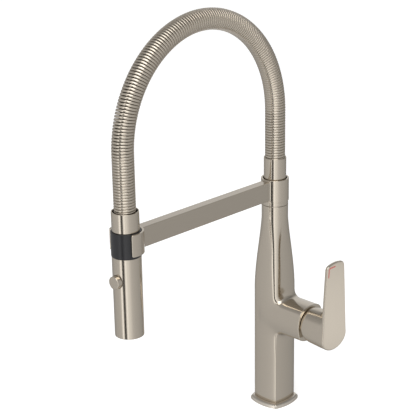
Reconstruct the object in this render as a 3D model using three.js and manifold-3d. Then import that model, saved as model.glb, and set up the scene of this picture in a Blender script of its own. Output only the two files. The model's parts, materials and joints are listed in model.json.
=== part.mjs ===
// A single-lever kitchen faucet in the pre-rinse style: a deck column with the mixing cartridge in a
// side boss, a swivelling support arm, a coil spring arch over the inner hose, and a pull-down spray
// head that docks in the open ring at the arm's end.
// Millimetres, +Z up. The origin is the centre of the base flange's underside, the arm points to -Y
// and the lever's boss points to +X.
import * as THREE from 'three';
import { mergeVertices } from 'three/addons/utils/BufferGeometryUtils.js';
import Module from 'manifold-3d';

const { sin, cos, PI, sqrt, atan2, max, min } = Math;
const rad = THREE.MathUtils.degToRad;

// ---------------------------------------------------------------- driving dimensions
// Fits
const fit = 0.3; // between pieces that seat, screw or press together
const play = 0.4; // around pieces that turn or slide

// Overall
const reach = 240; // column axis to spray head axis
const archSpringing = 379.4; // height where the straight spring legs turn into the arch
const archRise = 124.4; // height of the spring's centreline above the springing
const headTurn = 2; // degrees that the docked head is turned, so its button looks a little to +X

// Base
const flangeCorner = 29.8; // centre to ridge
const flangeBow = 24; // half angle of each bowed side, degrees
const flangeHeight = 5.5;
const flangeBore = 15.5; // radius of the hole for the hoses
const flangeEdge = 1.2; // chamfer of the top edge
const sealInner = 18.5; // inner radius of the rubber seal in the underside
const sealWidth = 3;
const sealDepth = 1.6;
const baseShadow = 0.5; // reveal between flange and column

// Column: a square with bowed sides, drawn in to a round neck
const sideBow = 18; // half angle of each bowed side, degrees
const columnCorner = 24.6; // centre to ridge
const columnBore = 14.8;
const taperStart = 158;
const taperEnd = 247;
const taperLag = 1.2; // above 1 the column keeps its width longer before it narrows
const taperEase = 0.45; // 0 is a straight taper, 1 an S curve
const neckReveal = 0.7; // the neck is this much slimmer than the swivel hub
const neckWall = 4.5;
const columnTop = 263.3;
const stemSeat = 28; // depth of the neck's bore, where the spout stem is seated

// Side boss and cartridge
const bossHeight = 123.2; // height of the boss axis
const bossEnd = 58; // from the column axis
const bossBow = 28; // half angle of each bowed side, degrees
const bossWall = 4.1; // at the middle of a side
const pocketWall = 4; // cartridge to the boss's bore
const cartridgeRadius = 14;
const cartridgeWall = 1.7;
const cartridgeBared = 4.5; // length of the cartridge that stands out of its block
const portSealThickness = 1;
const discThickness = 3;
const driverFloor = 1; // of the disc driver, under the stem's ball
const portSpread = 6.5; // sideways place of the hot and cold ports
const inletRise = 4; // hot and cold ports above the boss axis
const outletDrop = 6; // mixed water port below it
const portRadius = 2.6;
const pivotSetback = 9.5; // the lever's tilt pivot lies this far inside the boss's end
const stemHalf = 3; // half the thickness of the square stem
const stemFinger = 8; // pivot to the ball on the stem's inner end
const stemCover = 11.2; // metal of the lever between the stem's end and the blade's back
const ballRadius = 2;
const pinRadius = 1.2;
const yokeStep = 1.3; // shoulder that keeps the yoke in the cartridge
const nutThickness = 3.7;
const domeSeat = 1.4; // the dome starts this far inside the boss's bore
const domeRim = 1.2; // depth of the dome's foot in the boss

// Water tubes
const tubeRadius = 4;
const tubeWall = 1;
const riserRadius = 4.9;
const insertHeight = 12; // of the threaded insert in the column's foot
const tubePlateHeight = 7.4; // of the plate on it, which holds the supply tubes
const tubeSocketDepth = 3;
const hoseRadiusBelow = 4.3; // of the supply hoses' ends
const studRadius = 3.5;

// Lever
const leverTilt = 20; // degrees from closed to fully open
const hubFoot = 20; // radius of the lever's hub where it starts
const hubCrown = 21.8; // radius of its upper side at the blade
const leverDepth = 37.5; // boss's end to the blade's outer face
const bladeThickness = 3.4;
const bladeFoot = 22.2; // half width of the round foot
const footSink = 7.2; // the foot's middle below the boss axis
const footDrop = 16.2; // its lowest point below its middle
const bladeTopHalf = 15.8; // half width at the top
const bladeRise = 89; // tip above the boss axis
const bladeCrown = 1.2; // the top edge is this much higher in its middle
const bladeCornerRadius = 6.2;
const hubFlare = 0.35; // below 1 the hub widens to the blade early
const ribDepth = 10; // of the web behind the blade
const ribShort = 30; // the web ends this far below the tip
const markWidth = 1.8;
const markArm = 12.6;
const markInset = 2.5;
const markDepth = 0.8;

// Swivel
const washerThickness = 0.6;
const ringHeight = 3.8;
const nippleWall = 1.6;
const bushWall = 2.35;
const bushFloor = 1.7;
const sealThickness = 1.1;
const clipThickness = 1;
const swivelHalf = 90; // degrees each way
const stopRadius = 1.5;
const stopDepth = 1.8; // of the groove in the stem

// Arm, hub and sleeve
const hubWall = 2.2;
const hubReveal = 1.1; // gap between hub and sleeve
const hubHeight = 27.6;
const hubFloor = 4.4;
const armThickness = 12;
const armHeight = 23.2;
const armBelowHubTop = 1.7;
const sleeveWall = 1.05;
const sleeveAboveHub = 25.6;
const grubRadius = 2;
const hexRadius = 1.1;
const grubBelowHubTop = 10;

// Spring and inner hose
const springRadius = 12.15;
const wireThickness = 2.7;
const hoseRadius = 7;
const hoseWall = 1.5;
const crimpWall = 1;
const crimpLength = 12;
const nippleLength = 14;

// Dock at the arm's end
const dockWall = 2.6;
const dockHeight = 25;
const dockOpening = 66.5; // half angle of the ring's open side, degrees
const dockScrewRadius = 1.5;
const dockScrewDrop = 8; // below the arm's middle
const dockScrewGrip = 9; // length in the arm
const magnetWidth = 8;
const magnetHeight = 11;
const magnetDepth = 4;
const magnetRise = 2.5; // magnet's middle above the arm's middle

// Spray head
const headRadius = 16.3;
const headWall = 1.1;
const headLength = 93.5;
const collarStep = 0.45; // the collar stands out this far from the head
const collarBelowDock = 3.1;
const collarMagnetStep = 1.2; // depth of the collar's wall over its magnet
const collarCap = 11.5; // height of solid collar above the magnet
const ferruleGap = 1.75; // spring to ferrule
const ferruleWall = 1.3;
const ferruleHeight = 21.6;
const ferruleFloor = 4;
const skirtWall = 1.8;
const skirtDrop = 9;
const spigotRadius = 6;
const fittingCollar = 8.9;
const buttonRadius = 7.4;
const buttonBelowCollar = 26.8;
const buttonFace = 21.4; // head axis to the button's face
const buttonTravel = 2.5;
const buttonPocket = 10.5; // depth of the pocket behind the button's face
const buttonWall = 2;
const coilThickness = 1.3;
const spoolRadius = 3.9;
const aeratorRadius = 6.9;
const faceThickness = 3.4;
const faceInset = 0.8; // spray face above the shell's rim
const matThickness = 2;
const nozzleHole = 0.95;
const nozzleRings = [10, 14]; // nozzles in the inner and the outer ring

// ---------------------------------------------------------------- solids
const wasm = await Module();
wasm.setup();
const FINE = 32; // sides of a large round, a multiple of 8 so that it has a corner on each ridge
const MEDIUM = 16;
const SMALL = 10;
const TAPER_STEPS = 10;

// A closed geometry as a solid that faces out.
function solid(geometry) {
  const plain = new THREE.BufferGeometry();
  const loose = geometry.index ? geometry.toNonIndexed() : geometry;
  plain.setAttribute('position', loose.getAttribute('position'));
  const merged = mergeVertices(plain, 1e-4);
  const index = merged.index.array;
  const faces = [];
  for (let i = 0; i < index.length; i += 3) {
    const [a, b, c] = [index[i], index[i + 1], index[i + 2]];
    if (a !== b && b !== c && c !== a) faces.push([a, b, c]);
  }
  const make = (order) => new wasm.Manifold(new wasm.Mesh({
    numProp: 3,
    vertProperties: new Float32Array(merged.attributes.position.array),
    triVerts: new Uint32Array(faces.flatMap(order)),
  }));
  const body = make(([a, b, c]) => [a, b, c]);
  return body.volume() > 0 ? body : make(([a, b, c]) => [a, c, b]);
}

const join = (first, ...others) => others.reduce((whole, piece) => whole.add(piece), first);
const cut = (first, ...others) => others.reduce((whole, piece) => whole.subtract(piece), first);

// A turned piece about Z. Its profile is a list of [radius, height]; a profile that isn't on the axis
// at both ends closes on itself.
function turned(profile, sides = FINE) {
  const points = profile.map(([r, z]) => new THREE.Vector2(r, z));
  const open = points[0].x > 0 || points[points.length - 1].x > 0;
  if (open) points.push(points[0].clone());
  return solid(new THREE.LatheGeometry(points, sides).rotateX(PI / 2));
}

const rod = (r, low, high, sides = FINE) => turned([[0, low], [r, low], [r, high], [0, high]], sides);
const tube = (outer, inner, low, high, sides = FINE) =>
  turned([[inner, low], [outer, low], [outer, high], [inner, high]], sides);

// Turns a piece made about Z so that its axis lies along X at the boss's height.
const acrossX = (piece) => piece.rotate([0, 90, 0]).translate([0, 0, bossHeight]);

function block(low, high) {
  const size = high.map((value, i) => value - low[i]);
  const middle = high.map((value, i) => (value + low[i]) / 2);
  return solid(new THREE.BoxGeometry(...size)).translate(middle);
}

function extruded(shape, low, high, curveSegments = 8) {
  const options = { depth: high - low, bevelEnabled: false, curveSegments };
  return solid(new THREE.ExtrudeGeometry(shape, options).translate(0, 0, low));
}

// Part of a ring between two angles.
function ringSector(outer, inner, from, to, low, high, sides = FINE) {
  const shape = new THREE.Shape();
  shape.absarc(0, 0, outer, rad(from), rad(to), false);
  shape.absarc(0, 0, inner, rad(to), rad(from), true);
  return extruded(shape, low, high, sides);
}

// A ring of round section, for seals.
const roundSeal = (radius, thickness, height) =>
  solid(new THREE.TorusGeometry(radius, thickness / 2, 6, MEDIUM)).translate([0, 0, height]);

// Distance from the centre to the outline of a square with bowed sides, at angle theta.
function bowedSquare(corner, theta, halfAngle = sideBow) {
  const half = corner / sqrt(2);
  const bow = half / sin(rad(halfAngle));
  const back = bow * cos(rad(halfAngle)) - half;
  const quarter = PI / 2;
  const turn = theta - quarter * Math.round(theta / quarter);
  return sqrt(bow * bow - (back * sin(turn)) ** 2) - back * cos(turn);
}

// A stack of sections at the given heights. The outline's radius depends on the angle and the height.
function lofted(radiusAt, heights) {
  const circle = Array.from({ length: FINE }, (_, i) => {
    const theta = PI / 4 + (2 * PI * i) / FINE;
    return new THREE.Vector2(cos(theta), sin(theta));
  });
  const steps = heights.length - 1;
  const options = { depth: steps, steps, bevelEnabled: false };
  const geometry = new THREE.ExtrudeGeometry(new THREE.Shape(circle), options);
  const place = geometry.getAttribute('position');
  for (let i = 0; i < place.count; i += 1) {
    const [x, y] = [place.getX(i), place.getY(i)];
    const height = heights[Math.round(place.getZ(i))];
    const grow = radiusAt(atan2(y, x), height) / Math.hypot(x, y);
    place.setXYZ(i, x * grow, y * grow, height);
  }
  return solid(geometry);
}

// ---------------------------------------------------------------- sizes that follow from the ones above
// From the spring outwards: sleeve, hub and the column's neck under it.
const sleeveInner = springRadius + fit;
const sleeveRadius = sleeveInner + sleeveWall;
const hubBore = sleeveRadius + hubReveal;
const hubRadius = hubBore + hubWall;
const neckRadius = hubRadius - neckReveal;
const neckBore = neckRadius - neckWall;
// The hub turns on a bush, which carries the spring's end, and the bush on the spout stem.
const bushOuter = springRadius;
const bushInner = bushOuter - bushWall;
const stemRadius = bushInner - fit;
const stemFlange = neckBore - fit;
const nippleRadius = hoseRadius - hoseWall - fit;
const stemBore = nippleRadius - nippleWall;
// From the boss's end inwards: dome, nut and cartridge housing, then the lever's pivot and the discs.
const nutEnd = bossEnd - domeRim - fit;
const housingEnd = nutEnd - nutThickness - fit;
const pivotAt = bossEnd - pivotSetback;
const ballAt = pivotAt - stemFinger;
const driverAt = ballAt - ballRadius - 2 * play - driverFloor;
const movingDiscAt = driverAt - fit - discThickness;
const fixedDiscAt = movingDiscAt - fit - discThickness;
const sealFace = fixedDiscAt - fit - portSealThickness;
const pocketFloor = sealFace - fit;
// From the boss's end outwards: the lever's blade.
const bladeFace = bossEnd + leverDepth;
const bladeBack = bladeFace - bladeThickness;
// From the cartridge outwards: its bore in the boss, the boss and the lever's hub.
const cartridgeInner = cartridgeRadius - cartridgeWall;
const discRadius = cartridgeInner - 2 * play;
const discTravel = stemFinger * sin(rad(leverTilt));
const movingDiscRadius = discRadius - discTravel - fit;
const bossBore = cartridgeRadius + pocketWall;
const bossCorner = (bossBore + bossWall) / bowedSquare(1, 0, bossBow);
// From the spray head outwards: the collar and the dock around it.
const collarRadius = headRadius + collarStep;
const dockInner = collarRadius + play;
const dockOuter = dockInner + dockWall;

// ---------------------------------------------------------------- finishes
const finish = (color, roughness, metalness) => ({ color, roughness, metalness });
const nickel = finish(0xa89f92, 0.32, 1);
const brass = finish(0xb08d4c, 0.4, 1);
const copper = finish(0xb87352, 0.35, 1);
const steel = finish(0x9a9a98, 0.3, 1);
const ceramic = finish(0xf2f0ea, 0.25, 0);
const whitePlastic = finish(0xe9e7e0, 0.5, 0);
const greyPlastic = finish(0x8b8c8b, 0.45, 0);
const blackPlastic = finish(0x2b2b2c, 0.4, 0);
const rubber = finish(0x1d1d1d, 0.8, 0);
const magnet = finish(0x55565a, 0.4, 1);
const red = finish(0xb0343a, 0.4, 0);

const faucet = new THREE.Group();

function add(name, piece, look, parent = faucet) {
  const { vertProperties, triVerts, numProp } = piece.getMesh();
  const geometry = new THREE.BufferGeometry();
  const positions = new Float32Array((vertProperties.length / numProp) * 3);
  for (let i = 0; i < positions.length / 3; i += 1) {
    positions.set(vertProperties.subarray(i * numProp, i * numProp + 3), i * 3);
  }
  geometry.setAttribute('position', new THREE.BufferAttribute(positions, 3));
  geometry.setIndex(new THREE.BufferAttribute(new Uint32Array(triVerts), 1));
  geometry.computeVertexNormals();
  const mesh = new THREE.Mesh(geometry, new THREE.MeshStandardMaterial(look));
  mesh.name = name;
  parent.add(mesh);
}

// ---------------------------------------------------------------- base
function makeBase() {
  const edgeLow = flangeHeight - flangeEdge;
  const outline = (theta, height) =>
    bowedSquare(flangeCorner - max(0, height - edgeLow) * sqrt(2), theta, flangeBow);
  const plate = lofted(outline, [0, edgeLow, flangeHeight]);
  const sealOuter = sealInner + sealWidth;
  const groove = tube(sealOuter + fit, sealInner - fit, -1, sealDepth + fit);
  add('base_flange', cut(plate, rod(flangeBore, -1, flangeHeight + 1), groove), nickel);
  add('base_seal', tube(sealOuter, sealInner, 0, sealDepth), rubber);
}

// ---------------------------------------------------------------- column
const columnFoot = flangeHeight + baseShadow;

// The column's outline radius at a height: bowed square below, round at the neck.
function columnRadius(theta, height) {
  const share = min(1, max(0, (height - taperStart) / (taperEnd - taperStart)));
  const late = share ** taperLag;
  const eased = late * late * (3 - 2 * late);
  const drawn = (1 - taperEase) * late + taperEase * eased;
  const corner = columnCorner + (neckRadius - columnCorner) * drawn;
  return bowedSquare(corner, theta) * (1 - drawn) + corner * drawn;
}

const stemFoot = columnTop - stemSeat;
const riserSocket = 8; // depth of the stem's socket for the riser
const riserTop = stemFoot + riserSocket - fit;

function makeColumn() {
  const taper = Array.from({ length: TAPER_STEPS + 1 }, (_, i) =>
    taperStart + ((taperEnd - taperStart) * i) / TAPER_STEPS);
  const column = lofted(columnRadius, [columnFoot, ...taper, columnTop]);
  const boss = acrossX(lofted((theta) => bowedSquare(bossCorner, theta, bossBow), [0, bossEnd]));
  const boreTop = stemFoot - tubeWall - 7;
  const boreShoulder = boreTop - (columnBore - neckBore) * 4; // a slope of one in four
  const hollow = turned([
    [0, columnFoot - 1],
    [columnBore, columnFoot - 1],
    [columnBore, boreShoulder],
    [neckBore, boreTop],
    [neckBore, columnTop + 1],
    [0, columnTop + 1],
  ]);
  const sideBore = acrossX(rod(bossBore, 0, bossEnd + 1));
  add('body_shell', cut(join(column, boss), hollow, sideBore), nickel);
}

// ---------------------------------------------------------------- water path in the column
const supplyX = -5; // the supply tubes stand behind the column axis
const sides = [['hot', -1], ['cold', 1]];
const blockHalf = 10; // half height of the valve block where it crosses the column's bore
const tubeSeat = bossHeight - blockHalf + tubeSocketDepth; // where the supply tubes end in the block
const riserSeat = bossHeight + blockHalf - tubeSocketDepth;
const insertFoot = columnFoot + fit;
const insertTop = insertFoot + insertHeight;
const plateLow = insertTop + fit;
const plateHigh = plateLow + tubePlateHeight;
const plateSeat = plateHigh - tubeSocketDepth;

function makeWaterPath() {
  let insert = rod(columnBore - play, insertFoot, insertTop, MEDIUM);
  let plate = rod(columnBore - play, plateLow, plateHigh, MEDIUM);
  let body = join(
    rod(columnBore - play, bossHeight - blockHalf, bossHeight + blockHalf),
    acrossX(rod(bossBore - 2 * fit, columnBore / 2, housingEnd - cartridgeBared)),
  );
  body = cut(body, acrossX(rod(cartridgeRadius + fit, pocketFloor, bossEnd)));
  for (const [name, side] of sides) {
    const at = [supplyX, side * portSpread, 0];
    insert = cut(insert, rod(hoseRadiusBelow + fit, insertFoot - 1, insertTop + 1, SMALL).translate(at));
    plate = cut(
      plate,
      rod(tubeRadius - tubeWall, plateLow - 1, plateHigh, MEDIUM).translate(at),
      rod(tubeRadius + fit, plateSeat, plateHigh + 1, MEDIUM).translate(at),
    );
    const run = acrossX(rod(portRadius, supplyX, pocketFloor + 1, MEDIUM));
    body = cut(
      body,
      rod(tubeRadius + fit, bossHeight - blockHalf - 1, tubeSeat, MEDIUM).translate(at),
      rod(portRadius, tubeSeat - 1, bossHeight + inletRise, MEDIUM).translate(at),
      run.translate([0, side * portSpread, inletRise]),
    );
    const supply = tube(tubeRadius, tubeRadius - tubeWall, plateSeat + fit, tubeSeat - fit, MEDIUM);
    add(`${name}_supply_tube`, supply.translate(at), copper);
  }
  const studHole = rod(studRadius, insertFoot - 1, insertTop + 1, SMALL)
    .translate([studRadius - supplyX, 0, 0]);
  add('base_insert', cut(insert, studHole), brass);
  add('tube_plate', plate, brass);

  body = cut(
    body,
    acrossX(rod(portRadius, 0, pocketFloor + 1, MEDIUM)).translate([0, 0, -outletDrop]),
    rod(portRadius, bossHeight - outletDrop, riserSeat + 1, MEDIUM),
    rod(riserRadius + fit, riserSeat, riserSeat + blockHalf, MEDIUM),
  );
  add('valve_block', body, brass);
  const riser = tube(riserRadius, riserRadius - tubeWall, riserSeat + fit, riserTop, MEDIUM);
  add('mixed_water_riser', riser, copper);
}

// ---------------------------------------------------------------- cartridge, along X
const yokeAt = ballAt + ballRadius + 2 * fit;
const yokeRadius = cartridgeInner - play;
const yokeNeck = yokeRadius - yokeStep;
const stemOut = bladeBack - stemCover;
// Sphere about the tilt pivot, through the boss's end: the dome's outside, which the lever clears.
const domeRadius = Math.hypot(bossBore - domeSeat, bossEnd - pivotAt);

function portHoles(low, high, radius) {
  const hole = acrossX(rod(radius, low, high, SMALL));
  return [
    hole.translate([0, -portSpread, inletRise]),
    hole.translate([0, portSpread, inletRise]),
    hole.translate([0, 0, -outletDrop]),
  ];
}

function makeCartridge() {
  const lipAt = housingEnd - 1.2;
  add('cartridge_housing', acrossX(turned([
    [cartridgeInner, sealFace],
    [cartridgeRadius, sealFace],
    [cartridgeRadius, housingEnd],
    [yokeNeck + play, housingEnd],
    [yokeNeck + play, lipAt],
    [cartridgeInner, lipAt],
  ], MEDIUM)), whitePlastic);

  const seal = acrossX(rod(discRadius, sealFace, sealFace + portSealThickness, MEDIUM));
  const sealHoles = portHoles(sealFace - 1, sealFace + portSealThickness + 1, portRadius);
  add('cartridge_seal', cut(seal, ...sealHoles), rubber);
  const fixed = acrossX(rod(discRadius, fixedDiscAt, fixedDiscAt + discThickness, MEDIUM));
  const through = portHoles(fixedDiscAt - 1, fixedDiscAt + discThickness + 1, portRadius);
  add('fixed_ceramic_disc', cut(fixed, ...through), ceramic);

  // The moving disc's chamber stands over the outlet alone while the lever is closed, and slides up
  // over the inlets as it opens.
  const moving = acrossX(rod(movingDiscRadius, movingDiscAt, movingDiscAt + discThickness, MEDIUM));
  const chamberDrop = 2;
  const chamberRadius = movingDiscRadius - chamberDrop - 1.4;
  const chamber = acrossX(rod(chamberRadius, movingDiscAt - 1, movingDiscAt + discThickness / 2, MEDIUM));
  add('moving_ceramic_disc', cut(moving, chamber.translate([0, 0, -chamberDrop])), ceramic);

  const driver = acrossX(rod(movingDiscRadius - fit, driverAt, ballAt + ballRadius, MEDIUM));
  const socket = acrossX(rod(ballRadius + play, driverAt + driverFloor, yokeAt + 1, MEDIUM));
  add('disc_driver', cut(driver, socket), whitePlastic);

  const yoke = acrossX(turned([
    [0, yokeAt],
    [yokeRadius, yokeAt],
    [yokeRadius, lipAt - play],
    [yokeNeck, lipAt - play],
    [yokeNeck, nutEnd - fit],
    [0, nutEnd - fit],
  ], MEDIUM));
  const slotHalf = stemHalf + play;
  const slotRise = stemHalf + 4.5; // room for the stem's tilt
  const slot = block(
    [yokeAt - 1, -slotHalf, bossHeight - slotRise],
    [nutEnd + 1, slotHalf, bossHeight + slotRise],
  );
  const pinReach = yokeNeck - 1;
  const pinAlongY = (radius, half) =>
    rod(radius, -half, half, SMALL).rotate([90, 0, 0]).translate([pivotAt, 0, bossHeight]);
  add('cartridge_yoke', cut(yoke, slot, pinAlongY(pinRadius + fit, pinReach + fit)), whitePlastic);
  add('yoke_pin', pinAlongY(pinRadius, pinReach), steel);

  const nut = tube(bossBore - fit, yokeNeck + play, housingEnd + fit, nutEnd, MEDIUM);
  add('cartridge_nut', acrossX(nut), brass);

  // The dome between boss and lever is part of a sphere about the tilt pivot.
  const domeFoot = bossEnd - domeRim;
  const domeBore = yokeNeck + play;
  const from = Math.asin((bossBore - domeSeat) / domeRadius);
  const to = Math.asin(domeBore / domeRadius);
  const cap = Array.from({ length: 5 }, (_, i) => {
    const angle = from + ((to - from) * i) / 4;
    return [domeRadius * sin(angle), pivotAt + domeRadius * cos(angle)];
  });
  const rim = bossBore - fit;
  const foot = [[domeBore, domeFoot], [rim, domeFoot], [rim, bossEnd - fit], [rim - 1, bossEnd - fit]];
  add('dome_ring', acrossX(turned([...foot, ...cap])), nickel);

  const bar = block(
    [ballAt + ballRadius + 1, -stemHalf, bossHeight - stemHalf],
    [stemOut, stemHalf, bossHeight + stemHalf],
  );
  const finger = acrossX(rod(ballRadius - 0.5, ballAt, ballAt + ballRadius + 2, SMALL));
  const ball = solid(new THREE.SphereGeometry(ballRadius, SMALL, 8)).translate([ballAt, 0, bossHeight]);
  add('cartridge_stem', cut(join(bar, finger, ball), pinAlongY(pinRadius + fit, pinReach)), steel);
}

// ---------------------------------------------------------------- lever
const seam = 0.6; // between the boss's end and the lever's hub
const hubStart = bossEnd + seam;
const bladeTop = bossHeight + bladeRise;
const bladeSide = bladeTop - bladeCrown; // height of the top edge at its two ends
const shoulder = bladeSide - bladeCornerRadius;
const footMiddle = bossHeight - footSink;
const bladeDrop = footSink + footDrop;

// The blade's outline in the plane across X: y to the side, height up.
function bladeShape() {
  const shape = new THREE.Shape();
  const inset = bladeTopHalf - bladeCornerRadius;
  shape.absellipse(0, footMiddle, bladeFoot, footDrop, PI, 2 * PI, false);
  shape.absarc(inset, shoulder, bladeCornerRadius, 0, PI / 2, false);
  shape.quadraticCurveTo(0, bladeTop + bladeCrown, -inset, bladeSide);
  shape.absarc(-inset, shoulder, bladeCornerRadius, PI / 2, PI, false);
  shape.closePath();
  return shape;
}

// Distance from the boss's axis to the outline of the hub at the blade: the blade's round foot below,
// a plain round above. theta is 0 straight down.
function footRadius(theta) {
  const a = (sin(theta) / bladeFoot) ** 2 + (cos(theta) / footDrop) ** 2;
  const b = (cos(theta) * footSink) / footDrop ** 2;
  const c = (footSink / footDrop) ** 2 - 1;
  return max(hubCrown, (b + sqrt(b * b - a * c)) / a);
}

// An outline drawn with y sideways and height up, thickened along X.
function plateAcrossX(shape, low, high, curveSegments) {
  return extruded(shape, low, high, curveSegments).rotate([90, 0, 90]);
}

// The hot mark: an L along the blade's front top corner. Its upright follows the blade's slanting edge.
function markShape(grow) {
  const left = -bladeTopHalf + markInset - grow;
  const top = bladeSide - markInset + grow;
  const width = markWidth + 2 * grow;
  const arm = markArm + 2 * grow;
  const slant = (arm * (bladeFoot - bladeTopHalf)) / (shoulder - footMiddle);
  const shape = new THREE.Shape();
  shape.moveTo(left, top);
  shape.lineTo(left - slant, top - arm);
  shape.lineTo(left + width - slant, top - arm);
  shape.lineTo(left + width, top - width);
  shape.lineTo(left + arm, top - width);
  shape.lineTo(left + arm, top);
  shape.closePath();
  return shape;
}

function makeLever() {
  // The hub starts round, swells within a few millimetres and ends in the outline of the blade's foot.
  const hubOutline = (theta, along) => {
    const share = ((along - hubStart) / (bladeBack + 1 - hubStart)) ** hubFlare;
    return hubFoot * (1 - share) + footRadius(theta) * share;
  };
  const hubSteps = [0, 0.03, 0.1, 0.3, 0.6, 1]
    .map((share) => hubStart + share * (bladeBack + 1 - hubStart));
  const hub = acrossX(lofted(hubOutline, hubSteps));
  const rib = new THREE.Shape();
  const ribFoot = bossHeight + bladeFoot - 4;
  rib.moveTo(bladeBack - ribDepth, ribFoot);
  rib.lineTo(bladeBack + 1, ribFoot);
  rib.lineTo(bladeBack + 1, bladeTop - ribShort);
  rib.quadraticCurveTo(bladeBack - ribDepth / 5, ribFoot + 2 * ribDepth, bladeBack - ribDepth, ribFoot);
  const ribHalf = bladeTopHalf - bladeCornerRadius;
  const backRib = extruded(rib, -ribHalf, ribHalf).rotate([90, 0, 0]);
  const blade = plateAcrossX(bladeShape(), bladeBack, bladeFace, 16);

  // The hollow clears the dome, and the slanted cut leaves room for the tilt.
  const hollow = solid(new THREE.SphereGeometry(domeRadius + 2 * fit, FINE, MEDIUM))
    .translate([pivotAt, 0, bossHeight]);
  const wide = bladeFoot + bladeDrop;
  const slant = block([-wide, -wide, -bladeRise], [hubStart - pivotAt, wide, bladeRise])
    .rotate([0, -leverTilt, 0])
    .translate([pivotAt, 0, bossHeight]);
  const socketHalf = stemHalf + fit;
  const socket = block(
    [pivotAt, -socketHalf, bossHeight - socketHalf],
    [stemOut + fit, socketHalf, bossHeight + socketHalf],
  );
  const screwAt = [stemOut - 2 * grubRadius, 0, 0];
  const screwLow = bossHeight - bladeDrop - 1;
  const screwHigh = bossHeight - stemHalf - fit;
  const screwHole = rod(grubRadius + fit, screwLow, screwHigh + 1, SMALL).translate(screwAt);
  const groove = plateAcrossX(markShape(fit / 2), bladeFace - markDepth, bladeFace + 1, 1);
  add('lever', cut(join(hub, blade, backRib), hollow, slant, socket, screwHole, groove), nickel);

  const hexSocket = rod(hexRadius, screwLow, screwLow + 8, 6);
  const screw = cut(rod(grubRadius, screwLow + 6, screwHigh, SMALL), hexSocket).translate(screwAt);
  add('lever_set_screw', screw, steel);
  add('hot_mark', plateAcrossX(markShape(0), bladeFace - markDepth + fit, bladeFace, 1), red);
}

// ---------------------------------------------------------------- swivel and spout stem
const washerLow = columnTop + fit;
const ringLow = washerLow + washerThickness + fit;
const hubLow = ringLow + ringHeight + fit;
const hubTop = hubLow + hubHeight;
const stopHeight = hubLow + hubFloor / 2;
const stemStep = 2; // the stem is this much slimmer through the bush's floor and the clip
const stemShoulder = hubTop - 7.2;
const capTop = stemShoulder + fit + bushFloor;
const clipLow = capTop + fit;
const springFoot = capTop + fit;
const hoseFoot = clipLow + clipThickness + 3;

// Turns a piece made about Z so that its axis points to +Y at a height.
const alongY = (piece, height) => piece.rotate([-90, 0, 0]).translate([0, 0, height]);

function makeSwivel() {
  const sealHeights = [stemFoot + 12, stemFoot + 18];
  const sealGroove = sealThickness + fit;
  const slim = stemRadius - stemStep;
  const clipGroove = slim - 0.8;
  const stem = turned([
    [riserRadius + fit, stemFoot],
    [stemFlange, stemFoot],
    ...sealHeights.flatMap((z) => [
      [stemFlange, z - sealThickness],
      [stemFlange - sealGroove, z - sealThickness],
      [stemFlange - sealGroove, z + sealThickness],
      [stemFlange, z + sealThickness],
    ]),
    [stemFlange, columnTop - fit],
    [stemRadius, columnTop - fit],
    [stemRadius, stemShoulder],
    [slim, stemShoulder],
    [slim, clipLow - fit / 2],
    [clipGroove, clipLow - fit / 2],
    [clipGroove, clipLow + clipThickness + fit / 2],
    [slim, clipLow + clipThickness + fit / 2],
    [slim, hoseFoot - fit],
    [nippleRadius, hoseFoot - fit],
    [nippleRadius, hoseFoot + nippleLength],
    [stemBore, hoseFoot + nippleLength],
    [stemBore, stemFoot + riserSocket],
    [riserRadius + fit, stemFoot + riserSocket],
  ], MEDIUM);
  // The stop screw's tip runs in a groove part of the way round.
  const grooveRadius = stemRadius - stopDepth;
  const tipAngle = swivelHalf + THREE.MathUtils.radToDeg(Math.asin((stopRadius + play) / grooveRadius));
  const stopGroove = ringSector(
    stemRadius + 1, grooveRadius, 90 - tipAngle, 90 + tipAngle,
    stopHeight - stopRadius - play, stopHeight + stopRadius + play,
  );
  add('spout_stem', cut(stem, stopGroove), brass);
  sealHeights.forEach((z, i) => {
    const seal = roundSeal(stemFlange - sealThickness / 2, sealThickness, z);
    add(i ? 'upper_stem_seal' : 'lower_stem_seal', seal, rubber);
  });
  const washer = tube(neckRadius - 0.8, bushOuter + fit, washerLow, washerLow + washerThickness);
  add('swivel_washer', washer, blackPlastic);
  add('swivel_ring', tube(neckRadius, bushOuter + fit, ringLow, ringLow + ringHeight), nickel);

  const stopHole = alongY(rod(stopRadius + fit, 0, hubRadius + 2, SMALL), stopHeight);
  const bush = turned([
    [bushInner, washerLow],
    [bushOuter, washerLow],
    [bushOuter, capTop],
    [slim + fit, capTop],
    [slim + fit, stemShoulder + fit],
    [bushInner, stemShoulder + fit],
  ]);
  add('swivel_bush', cut(bush, stopHole), whitePlastic);
  const clipOuter = springRadius - wireThickness - fit;
  const clip = tube(clipOuter, clipGroove + fit, clipLow, clipLow + clipThickness, MEDIUM);
  add('retaining_clip', clip, steel);

  const stopScrew = rod(stopRadius, grooveRadius + fit, hubRadius - 0.8, SMALL);
  add('swivel_stop_screw', alongY(stopScrew, stopHeight), steel);
  return stopHole;
}

// ---------------------------------------------------------------- support arm, hub and dock
const armTop = hubTop - armBelowHubTop;
const armLow = armTop - armHeight;
const armMiddle = (armTop + armLow) / 2;
const dockLow = armMiddle - dockHeight / 2;
const dockHigh = dockLow + dockHeight;

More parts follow.
